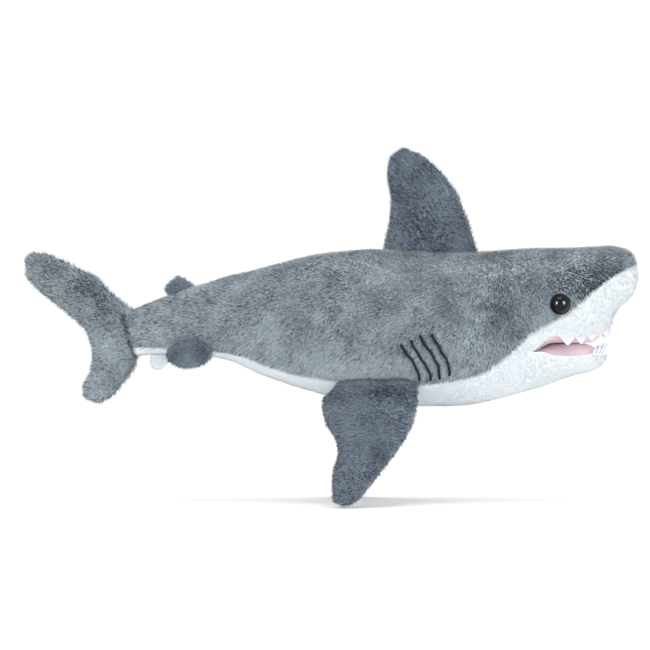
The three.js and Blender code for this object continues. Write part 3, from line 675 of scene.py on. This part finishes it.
def fill(pieces, cap):
    """Steps the cloth, keeps its shape on the meshes and returns each point's move in millimetres."""
    for frame_number in range(1, FILL_FRAMES + 1):
        bpy.context.scene.frame_set(frame_number)
    graph = bpy.context.evaluated_depsgraph_get()
    moves = []
    for piece in pieces:
        move = read_points(piece.evaluated_get(graph)) - read_points(piece)
        length = np.linalg.norm(move, axis=1, keepdims=True)
        moves.append(move * np.minimum(1, cap / np.maximum(length, 1e-6)))
    for piece, move in zip(pieces, moves):
        before = read_points(piece)
        piece.modifiers.clear()
        piece.vertex_groups.clear()
        piece.data.vertices.foreach_set("co", ((before + move) * MM).ravel())
        piece.data.update()
    bpy.context.scene.frame_set(1)
    return moves


def fill_body():
    """Fills a plain closed body and tells how far its cloth rises between the seams, on both sides."""
    stations = arc_stations(belly, TAIL_END_X, FORM_END_X, FORM_STEP)
    angle = np.linspace(-TOP, TOP, BODY_RING + 1)
    x = stations[:, None]
    grid = np.concatenate([body_point(x, angle[:-1], RIGHT), body_point(x, angle[:0:-1], LEFT)], axis=1)
    rows, columns = grid.shape[:2]
    form = make_object("body_form", grid.reshape(-1, 3), tube_faces(rows, columns) + end_caps(rows, columns))
    seam_column = np.rint((seam_limit(stations) + TOP) / (2 * TOP) * BODY_RING).astype(int)
    held = set(range(columns)) | set(range((rows - 1) * columns, rows * columns))
    for i, j in enumerate(seam_column):
        held |= {i * columns + j, i * columns + BODY_RING, i * columns + (2 * BODY_RING - j) % columns}
    sew(form, held)
    move = fill([form], BODY_SWELL)[0].reshape(rows, columns, 3)
    rise = evened(np.einsum("ijk,ijk->ij", move, outward_normals(grid)))
    bpy.data.objects.remove(form)
    turned = np.concatenate([rise[:, BODY_RING:], rise[:, :1]], axis=1)[:, ::-1]
    return stations, {RIGHT: rise[:, :BODY_RING + 1], LEFT: turned}


def evened(table):
    """Limits dents, and evens out wrinkles that are finer than the panels of the toy."""
    table = np.maximum(table, -LARGEST_DENT)
    for _ in range(EVENING_PASSES):
        table = (np.roll(table, 1, axis=1) + 2 * table + np.roll(table, -1, axis=1)) / 4
        longer = np.concatenate([table[:1], table, table[-1:]])
        table = (longer[:-2] + 2 * table + longer[2:]) / 4
    return table


def filled_rise(grid):
    """How far the filling lifts the cloth at these points of the body."""
    stations, sides = FILLED_BODY
    x, z = grid[..., 0], grid[..., 2]
    row = np.interp(x, stations, np.arange(len(stations)))
    column = (angle_at(x, z) + TOP) / (2 * TOP) * BODY_RING
    i = np.clip(row.astype(int), 0, len(stations) - 2)
    j = np.clip(column.astype(int), 0, BODY_RING - 1)
    a, b = row - i, column - j
    total = np.zeros(x.shape)
    for side, table in sides.items():
        value = ((table[i, j] * (1 - b) + table[i, j + 1] * b) * (1 - a)
                 + (table[i + 1, j] * (1 - b) + table[i + 1, j + 1] * b) * a)
        total += np.where(np.sign(grid[..., 1]) == side, value, 0)
    return (total - BODY_SETTLE * ease(x, -150, -95)) * (1 - ease(x, 236, FORM_END_X))


# ---- Body skins ----

SKIN_STEP = 3.0
BACK_COLUMNS, BELLY_COLUMNS, CHEEK_COLUMNS = 44, 61, 34
SIDE_NAMES = {RIGHT: "right", LEFT: "left"}


def station_grid(stations, share):
    """The x of each point of a grid, whose rows lie at the stations."""
    return np.repeat(stations[:, None], len(share), axis=1)


def seam_limit(x):
    return angle_at(x, seam(x))


def build_back(side):
    """One grey panel, from the side seam up to the seam along the back, nose to tail."""
    stations = arc_stations(back, TAIL_END_X, 253.3, SKIN_STEP)
    share = np.linspace(0, 1, BACK_COLUMNS)
    x = station_grid(stations, share)
    limit = seam_limit(x)
    angle = limit + (TOP - limit) * share
    grid = body_point(x, angle, side)
    from_seam = (angle - limit) * half_width(x)
    from_back = np.abs(grid[..., 1])
    grid = with_details(grid, [(from_seam, SIDE_SEAM), (from_back, BACK_SEAM)])
    name = SIDE_NAMES[side]
    nodes = [f"{name}_back_panel", f"{name}_tail_panel"]
    if side == RIGHT:
        nodes += ["body_stuffing", "tail_stuffing"]
    sew_skin(f"{name}_back_skin", grid, "grey", BENDS["tail"], nodes, 100 + side)


def build_belly():
    """The white belly, from side seam to side seam round the underside."""
    stations = arc_stations(belly, TAIL_END_X, THROAT_X, SKIN_STEP)
    share = np.linspace(-1, 1, BELLY_COLUMNS)
    x = station_grid(stations, share)
    limit = seam_limit(x)
    angle = -TOP + (limit + TOP) * np.abs(share)
    grid = body_point(x, angle, np.where(share < 0, RIGHT, LEFT))
    grid = with_details(grid, [((limit - angle) * half_width(x), SIDE_SEAM)])
    sew_skin("belly_skin", grid, "white", BENDS["tail"], ["belly_panel", "tail_belly_panel"], 110)


def jaw_point(x, turn):
    """Points of the jaw's underside; turn runs from 0 at the left lip to pi at the right one."""
    width = np.maximum(jaw_half_width(x) - PILE_ROOM, 0.8)
    depth = np.maximum(lower_lip(x) - jaw_underside(x) - PILE_ROOM, 0.5)
    return np.stack([x, width * np.cos(turn), lower_lip(x) - depth * np.sin(turn) ** 0.9], axis=-1)


def build_throat():
    """The throat and the jaw's skin are one white panel across the jaw's joint."""
    stations = np.concatenate([np.arange(THROAT_X, 215, SKIN_STEP), np.linspace(215, JAW_END_X - 0.1, 14)])
    share = np.linspace(-1, 1, BELLY_COLUMNS)
    x = station_grid(stations, share)
    limit = angle_at(x, throat_top(x))
    body_part = body_point(x, -TOP + (limit + TOP) * np.abs(share), np.where(share < 0, RIGHT, LEFT))
    jaw_part = jaw_point(x, TOP * (1 - share))
    grid = with_details(body_part + (jaw_part - body_part) * ease(x, 154, 182)[..., None], [])
    sew_skin("jaw_skin", grid, "white", BENDS["jaw"], ["jaw_panel", "jaw_stuffing"], 120)


def build_cheek(side):
    """White cheek and snout underside on one side, from the lip up to the side seam."""
    stations = np.concatenate([np.arange(THROAT_X + 1, 220, SKIN_STEP), np.linspace(220, NOSE_X - 0.2, 26)])
    share = np.linspace(0, 1, CHEEK_COLUMNS)
    x = station_grid(stations, share)
    tuck = 1.5 * (1 - ease(x, 164, CORNER_X))
    edge = np.where(x < CORNER_X, throat_top(x) - tuck, upper_lip(x))
    low = np.where(x < MOUTH_FRONT_X, angle_at(x, edge), -TOP)
    high = np.maximum(seam_limit(x), low + 0.01)
    angle = low + (high - low) * share
    grid = body_point(x, angle, side)
    from_seam = (high - angle) * half_width(x)
    # A soft crease follows the upper lip.
    from_crease = distance_to_line(grid[..., 0], grid[..., 2], LIP_CREASE)
    grid = with_details(grid, [(from_seam, SIDE_SEAM), (from_crease, LIP_CREASE_PULL)])
    name = SIDE_NAMES[side]
    nodes = [f"{name}_cheek_panel"] + (["head_stuffing"] if side == RIGHT else [])
    sew_skin(f"{name}_cheek_skin", grid, "white", "body", nodes, 130 + side)


# ---- Mouth ----


LINING_COLUMNS, LINING_ROUNDNESS, LINING_FILL = 41, 3.2, 0.5
LINING_WRINKLES = [(11, 31, 0.9)]
# Teeth, as millimetres round the lip from its middle, width and height. Each is on both sides.
UPPER_TEETH = [(0, 7.5, 8), (8, 7.5, 8.5), (16, 7.5, 7.5), (24, 6.5, 3.5), (35, 9, 5), (47, 10.5, 6),
               (60, 13, 6.8)]
LOWER_TEETH = [(0, 5.5, 7.5), (6, 5.5, 8.5), (12, 5.5, 9), (18, 5, 7.5), (23.5, 4.5, 5.5)]
TOOTH_INSET, TOOTH_ROOT, FELT_DEPTH = 3.2, -3.5, 1.1


def stand_for(piece, body, node):
    """Attaches a piece to its body and lets it replace a CAD node."""
    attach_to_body(piece, body)
    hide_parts(node)


def lip_half(x):
    return half_width(x) * np.cos(angle_at(x, upper_lip(x)))


def build_lining(name, stations, half, edge, middle, node, body, lift):
    """The roof or the floor of the mouth: a padded sheet that swells in its middle."""
    share = np.linspace(-1, 1, LINING_COLUMNS)
    x = station_grid(stations, share)
    z = edge(x) + (middle(x) - edge(x)) * (1 - np.abs(share) ** LINING_ROUNDNESS)
    grid = np.stack([x, half(x) * share, z], axis=-1)
    grid[..., 2] += lumps_at(grid, LINING_WRINKLES)
    skin = thick_sheet(name, grid, grid + np.array([0, 0, lift]), pink_cloth)
    stand_for(skin, body, node)
    if body == "lower_jaw":
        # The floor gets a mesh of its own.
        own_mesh(skin)


def build_mouth():
    roof = np.concatenate([np.arange(166, 180, 1.2), np.arange(181, 222, 2.5), np.linspace(223, 235.8, 10)])
    build_lining("mouth_roof_lining", roof,
                 lambda x: np.maximum(lip_half(np.maximum(x, 171)) - 3.4 + 1.6 * ease(x, 214, 230)
                                      - 3 * (1 - ease(x, 170, 186)), 1.5),
                 lambda x: upper_lip(np.maximum(x, 171)) + 1.2 - 9 * (1 - ease(x, 166, 174)),
                 roof_middle, "mouth_roof", "body", 1.5)
    floor = np.concatenate([np.arange(166, 217, 2.5), np.linspace(218, 228, 6)])
    build_lining("mouth_floor_lining", floor,
                 lambda x: np.maximum(jaw_half_width(np.maximum(x, 172)) - 5.6
                                      - 4 * (1 - ease(x, 170, 188)), 1.5),
                 lambda x: lower_lip(x) - 0.6, floor_middle, "mouth_floor", "lower_jaw", -1.5)


class Lip:
    """The line of a lip seen from above, measured from its middle at the front."""

    def __init__(self, half, height, start, front):
        self.height = height
        self.x = start + (front - start) * np.cos(np.linspace(0, TOP, 400))
        self.y = half(self.x)
        self.y[0] = 0
        self.length = line_lengths(np.stack([self.x, self.y], axis=1))

    def at(self, arc):
        return np.array([np.interp(arc, self.length, self.x), np.interp(arc, self.length, self.y)])

    def points(self, arc, inset):
        """Points of the lip that lie inset inside it, and the directions away from the mouth."""
        side = np.where(arc < 0, RIGHT, LEFT)
        x, y = self.at(np.abs(arc))
        slope_x, slope_y = self.at(np.abs(arc) + 0.5) - self.at(np.abs(arc) - 0.5)
        size = np.maximum(np.hypot(slope_x, slope_y), 1e-6)
        away = np.stack([slope_y / size, -side * slope_x / size, np.zeros_like(x)], axis=-1)
        away[np.abs(arc) < 0.5] = (1, 0, 0)
        line = np.stack([x, side * y, self.height(x)], axis=-1)
        return line - away * inset, away


def build_teeth(name, lip, teeth, reach, up, lean, node, body):
    """A strip of felt cut into triangles along a lip. Each tooth: place along the lip, width, height."""
    arc = np.linspace(-reach, reach, int(reach * 4) + 1)
    edge = np.full(arc.shape, 0.25)
    for place, width, height in teeth:
        for centre in {place, -place}:
            off = np.abs(arc - centre) / (width / 2)
            edge = np.maximum(edge, height * np.clip(1.05 - off ** 1.15, 0, 0.97))
    rows = np.linspace(0, 1, 9)[:, None]
    out = TOOTH_ROOT + (edge[None] - TOOTH_ROOT) * rows
    layers = []
    for inset in (TOOTH_INSET, TOOTH_INSET + FELT_DEPTH):
        line, away = lip.points(arc, inset)
        grid = np.repeat(line[None], len(rows), axis=0)
        grid[..., 2] += up * out
        layers.append(grid + away[None] * (lean * np.maximum(out, 0) ** 1.15)[..., None])
    strip = thick_sheet(name, layers[0], layers[1], felt_cloth)
    stand_for(strip, body, node)
    if body == "lower_jaw":
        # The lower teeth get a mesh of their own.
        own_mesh(strip)


# ---- Eyes and gills ----


def build_eye(side):
    """A domed safety eye on a slightly raised rim."""
    radius, height = EYE["radius"], EYE["height"]
    profile = [(0.0, -1.2), (radius - 0.6, -1.2), (radius, -0.6), (radius, 0.5), (radius - 0.35, 1.0),
               (radius - 0.9, 1.15), (radius - 1.25, 1.0)]
    dome = [(radius - 1.3, 1.05)]
    dome += [((radius - 1.3) * math.cos(a), 1.05 + (height - 1.05) * math.sin(a))
             for a in np.linspace(0.12, TOP, 18)]
    rings = profile + dome
    turns = [2 * math.pi * k / EYE_SIDES for k in range(EYE_SIDES)]
    points = [(r * math.cos(turn), r * math.sin(turn), h) for r, h in rings for turn in turns]
    slots = [int(i < len(profile)) for i in range(len(rings) - 1) for _ in turns]
    surface = body_point(EYE["x"], angle_at(EYE["x"], EYE["z"]), side)
    turned = Matrix.Rotation(-side * math.pi / 2, 3, "X") @ Matrix.Rotation(math.radians(EYE["yaw"]), 3, "Y")
    points = np.array(points) @ np.array(turned).T + surface + np.array([0, side * EYE["out"], 0])
    faces = tube_faces(len(rings), EYE_SIDES)
    eye = make_object(f"{SIDE_NAMES[side]}_glossy_eye", points, faces, eye_gloss)
    eye.data.materials.append(eye_rim)
    eye.data.polygons.foreach_set("material_index", slots)
    weld(eye)
    stand_for(eye, "body", f"{SIDE_NAMES[side]}_eye")


def weld(piece):
    """Merges the points that meet at a pole."""
    mesh = bmesh.new()
    mesh.from_mesh(piece.data)
    bmesh.ops.remove_doubles(mesh, verts=mesh.verts, dist=0.01 * MM)
    bmesh.ops.recalc_face_normals(mesh, faces=mesh.faces)
    mesh.to_mesh(piece.data)
    mesh.free()
    piece.data.shade_smooth()


def build_gill(index, side):
    """One satin-stitched line: a flat bead of slanting threads that lies in its own groove."""
    line = np.array(GILL_LINES[index], float)
    steps = line_lengths(line)
    along = np.linspace(0, steps[-1], 150)
    x, z = (smooth(zip(steps, values))(along) for values in line.T)
    waver = 0.45 * np.sin(along / 2.9 + 2 * index) * np.sin(along / 5.3 + index)
    path = body_point(x + waver, angle_at(x, z), side, rise=GILL_RISE)
    forward = unit(np.gradient(path, axis=0))
    outwards = path - np.stack([x, np.zeros_like(x), widest(x)], axis=-1)
    outwards = unit(outwards - forward * np.einsum("ij,ij->i", outwards, forward)[:, None])
    across = np.cross(forward, outwards)
    ends = np.sqrt(np.clip(np.minimum(along, steps[-1] - along) / 1.2, 0.02, 1))
    turns = np.linspace(0, 2 * math.pi, THREAD_SIDES + 1)[:-1]
    threads = 1 + 0.13 * np.sin(2 * math.pi * along[:, None] / 0.9 + 1.5 * np.cos(turns))
    width = GILL_THREAD * ends[:, None] * threads
    grid = (path[:, None] + across[:, None] * (np.cos(turns) * width)[..., None]
            + outwards[:, None] * (np.sin(turns) * width * 0.75)[..., None])
    faces = tube_faces(len(along), THREAD_SIDES) + end_caps(len(along), THREAD_SIDES)
    name = SIDE_NAMES[side]
    thread = make_object(f"{name}_gill_thread_{index + 1}", grid.reshape(-1, 3), faces, thread_cloth)
    weld(thread)
    stand_for(thread, "body", f"{name}_gill_stitch_{index + 1}")


# ---- Fins ----


FIN_STEP, TAIL_ROWS = 2.4, 64
ROUNDED_SHARE = 0.14           # of a fin's length, at its tip
ROOT_BLEND = (-5, 13)          # where a fin's blend starts, from its hinge line, and how long it is; nothing here blends the fin
TAIL_BLEND_Z = 142


def axes(*turns):
    """Directions of a fin's root, thickness and length after its turns about the world axes."""
    turned = Matrix.Identity(3)
    for axis, degrees in turns:
        turned = turned @ Matrix.Rotation(math.radians(degrees), 3, axis)
    return [np.array(turned.col[k]) for k in range(3)]


def paired(place, side):
    """Origin and axes of a fin that hangs out from one side of the body."""
    return ((place["x"], side * place["y"], place["z"]),
            axes(("Z", side * place["yaw"]), ("X", 180 + side * place["splay"])))


def fin_list():
    """Each fin: its body, outline, origin, axes, the body it is sewn to, the ends of the names of the
    nodes it stands for, the nap's direction and its cloth."""
    flat, hanging = ("right_panel", "left_panel"), ("lower_panel", "upper_panel")
    tail_axes = [np.array([0, 0, 1.0]), np.array([0, 1.0, 0]), np.array([-1.0, 0, 0])]
    fins = [
        ("dorsal_fin", "dorsal", (DORSAL["x"], 0, DORSAL["z"]), axes(), "body",
         (*flat, "stuffing"), (-0.8, 0, 0.45), "slate"),
        ("second_dorsal_fin", "second_dorsal", (SECOND_DORSAL["x"], 0, SECOND_DORSAL["z"]),
         axes(("Y", -SECOND_DORSAL["slope"])), "tail_stem", flat, (-1, 0, 0.3), "slate"),
        ("anal_fin", "anal", (ANAL["x"], 0, ANAL["z"]), axes(("X", 180)), "tail_stem",
         flat, (-1, 0, -0.3), "white"),
        ("tail_fin", "tail", (TAIL_HINGE_X, 0, 0), tail_axes, "tail_stem",
         (*flat, "stuffing"), (-1, 0, 0.15), "grey"),
    ]
    for side in (RIGHT, LEFT):
        name = SIDE_NAMES[side]
        fins.append((f"{name}_pectoral_fin", "pectoral", *paired(PECTORAL, side), "body",
                     (*hanging, "stuffing"), (-0.85, side * 0.3, -0.4), "slate"))
        fins.append((f"{name}_pelvic_fin", "pelvic", *paired(PELVIC, side), "tail_stem",
                     hanging, (-0.8, side * 0.3, -0.5), "slate"))
    return fins


def resample(points, count):
    """Points spaced evenly along a smooth line through the given ones."""
    line = np.array(points, float)
    steps = line_lengths(line)
    fine = np.linspace(0, steps[-1], 600)
    curve = np.stack([smooth(zip(steps, values))(fine) for values in line.T], axis=1)
    length = line_lengths(curve)
    even = np.linspace(0, length[-1], count)
    return np.stack([np.interp(even, length, values) for values in curve.T], axis=1)


def form_fin(name, outline, origin, directions, parent, faces, flow, kind):
    """The sewn shape of a fin before it is filled, how it is attached, its nodes, its nap and its cloth."""
    spec, is_tail = FINS[outline], outline == "tail"
    length = abs(spec["front"][-1][1] - spec["front"][0][1])
    rows = TAIL_ROWS if is_tail else max(14, int(length / FIN_STEP))
    columns = 34 if outline in ("tail", "pectoral", "dorsal") else 20
    front, rear = resample(spec["front"], rows), resample(spec["rear"], rows)
    share = (1 - np.cos(np.linspace(0, math.pi, columns))) / 2
    plan = rear[:, None] + (front - rear)[:, None] * share[None, :, None]
    level = np.linspace(0, 1, rows)[:, None]
    across = np.sqrt(np.clip(1 - np.abs(2 * share - 1)[None] ** 2.4, 0, 1))
    ends = round_end((1 - level) / ROUNDED_SHARE)
    if is_tail:
        ends = ends * round_end(level / ROUNDED_SHARE)
    half = (spec["half"] + (spec["tip_half"] - spec["half"]) * level) * across * ends
    half = np.maximum(half - PILE_ROOM, 0) * 0.85 + 0.6
    trim = shrink(plan, PILE_ROOM * (0.1 if is_tail else 0.5))
    bow = 1 - (2 * share - 1) ** 2
    trim = bow_end(trim, bow, ease(level, 0.8, 1), -1, 0.3)
    if is_tail:
        trim = bow_end(trim, bow, ease(level, 0.2, 0), 0, 0.14)
    grids = []
    for sign in (1, -1):
        local = np.stack([trim[..., 0], sign * half, trim[..., 1]], axis=-1)
        world = sum(local[..., k, None] * directions[k] for k in range(3)) + np.array(origin, float)
        lumps = lumps_at(world, FIN_LUMPS) * np.clip(half / 4, 0, 1)
        grids.append(world + directions[1] * sign * lumps[..., None])
    skin = thick_sheet(f"{name}_skin", grids[0], grids[1], CLOTHS[kind][0], crisp=False)
    away = np.array(directions[2])
    start = np.array(origin, float) + away * ROOT_BLEND[0]
    held = {r * columns + c for r in range(rows) for c in (0, columns - 1)}
    if is_tail:
        start[2] = TAIL_BLEND_Z
    else:
        held |= set(range(2 * columns))
    sew(skin, held | {point + rows * columns for point in held})
    holder = (parent, name, start, start + away * ROOT_BLEND[1])
    return skin, holder, [f"{name}_{face}" for face in faces], flow, kind


def round_end(share):
    """Rises from 0 to 1 like a quarter circle."""
    t = np.clip(share, 0, 1)
    return np.sqrt(t * (2 - t))


def bow_end(plan, bow, near_end, end, amount):
    """Rounds the straight end of an outline."""
    inner = plan[end - 2] if end == -1 else plan[end + 2]
    outwards = unit(plan[end].mean(axis=0) - inner.mean(axis=0))
    width = np.linalg.norm(plan[end][0] - plan[end][-1])
    return plan + outwards * (amount * width * bow * near_end)[..., None]


def shrink(plan, amount):
    """Pulls a fin's outline in, so that the pile ends where the outline was."""
    middle = (plan[:, :1] + plan[:, -1:]) / 2
    width = np.linalg.norm(plan[:, -1:] - plan[:, :1], axis=2, keepdims=True)
    trimmed = middle + (plan - middle) * np.maximum(1 - 2 * amount / np.maximum(width, 1), 0.3)
    root, end = trimmed[0, :, 1].mean(), trimmed[-1, :, 1].mean()
    level = np.linspace(0, 1, len(plan))[:, None]
    trimmed[..., 1] -= np.sign(end - root) * amount * ease(level, 0.7, 1)
    return trimmed


# ---- Everything in order ----

FILLED_BODY = fill_body()

for each_side in (RIGHT, LEFT):
    build_back(each_side)
    build_cheek(each_side)
    build_eye(each_side)
    for gill in range(len(GILL_LINES)):
        build_gill(gill, each_side)
build_belly()
build_throat()
build_mouth()
build_teeth("upper_felt_teeth", Lip(lip_half, upper_lip, 172, MOUTH_FRONT_X - 0.5), UPPER_TEETH, 68, -1, 0.1,
            "upper_teeth", "body")
build_teeth("lower_felt_teeth", Lip(jaw_half_width, lower_lip, 172, JAW_END_X), LOWER_TEETH, 28, 1, 0.45,
            "lower_teeth", "lower_jaw")
fins = [form_fin(*fin) for fin in fin_list()]
fill([fin[0] for fin in fins], FIN_SWELL)
for number, (skin, holder, nodes, flow, kind) in enumerate(fins):
    dress(skin, kind, holder, nodes, None, 200 + number, flow=flow)
for each_side in (RIGHT, LEFT):
    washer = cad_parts[f"{SIDE_NAMES[each_side]}_eye_washer"]
    for place in washer.material_slots:
        place.material = washer_plastic

# ---- Floor, light and camera ----

FLOOR_REACH = 60.0             # in metres, as are the lights' and the camera's places
SKY_STRENGTH = 1.08
SHARK_MIDDLE, EYES_MIDDLE = (0, 0, 0.15), (0.19, 0, 0.166)
LENS, SENSOR = 300, 36
FRAME_WIDTH = 0.543            # width that the picture shows at the shark's middle
CAMERA_AIM = (-0.00456, 0, 0.1483)
CAMERA_ELEVATION = 1


def build_floor():
    """A wide pale floor under an evenly lit sky, like a white studio."""
    paint = plain_material("floor_paint", (0.96,) * 3, (0.98,) * 3, 0.9, CLOTH_SPECULAR, 3, 3)
    reach = FLOOR_REACH / MM
    corners = [(-reach, -reach, 0), (reach, -reach, 0), (reach, reach, 0), (-reach, reach, 0)]
    make_object("studio_floor", corners, [(0, 1, 2, 3)], paint)


def point_at(thing, place, aim):
    thing.location = place
    thing.rotation_euler = (Vector(aim) - Vector(place)).to_track_quat("-Z", "Y").to_euler()


def add_light(name, place, aim, size, power, glints_only=False):
    data = bpy.data.lights.new(name, "AREA")
    data.shape = "RECTANGLE"
    data.size, data.size_y = size
    data.energy = power
    light = add_object(name, data)
    point_at(light, place, aim)
    light.visible_diffuse = not glints_only


def light_room():
    world = bpy.data.worlds.new("studio")
    world.use_nodes = True
    sky = world.node_tree.nodes["Background"]
    sky.inputs["Color"].default_value = (1.0, 1.0, 1.0, 1)
    sky.inputs["Strength"].default_value = SKY_STRENGTH
    bpy.context.scene.world = world
    bpy.context.scene.view_settings.view_transform = "Standard"
    add_light("overhead", (0.1, -0.5, 1.7), SHARK_MIDDLE, (0.9, 0.8), 8)
    add_light("front_left", (-1.2, -1.8, 0.75), SHARK_MIDDLE, (0.5, 0.6), 3.5)
    add_light("front_right", (2.0, -1.3, 0.75), SHARK_MIDDLE, (0.5, 0.6), 4.5)
    # Two large softboxes that only show as glints in the glossy eyes.
    add_light("glint_left", (-0.95, -1.6, 0.62), EYES_MIDDLE, (0.8, 1.0), 75, glints_only=True)
    add_light("glint_right", (1.6, -1.4, 0.62), EYES_MIDDLE, (0.8, 1.0), 75, glints_only=True)


def place_camera():
    data = bpy.data.cameras.new("camera")
    data.lens = LENS
    data.sensor_width = SENSOR
    data.clip_end = 200
    distance = LENS / SENSOR * FRAME_WIDTH
    rise = math.radians(CAMERA_ELEVATION)
    aim = Vector(CAMERA_AIM)
    camera = add_object("camera", data)
    point_at(camera, aim + Vector((0, -math.cos(rise), math.sin(rise))) * distance, aim)
    bpy.context.scene.camera = camera


build_floor()
light_room()
place_camera()
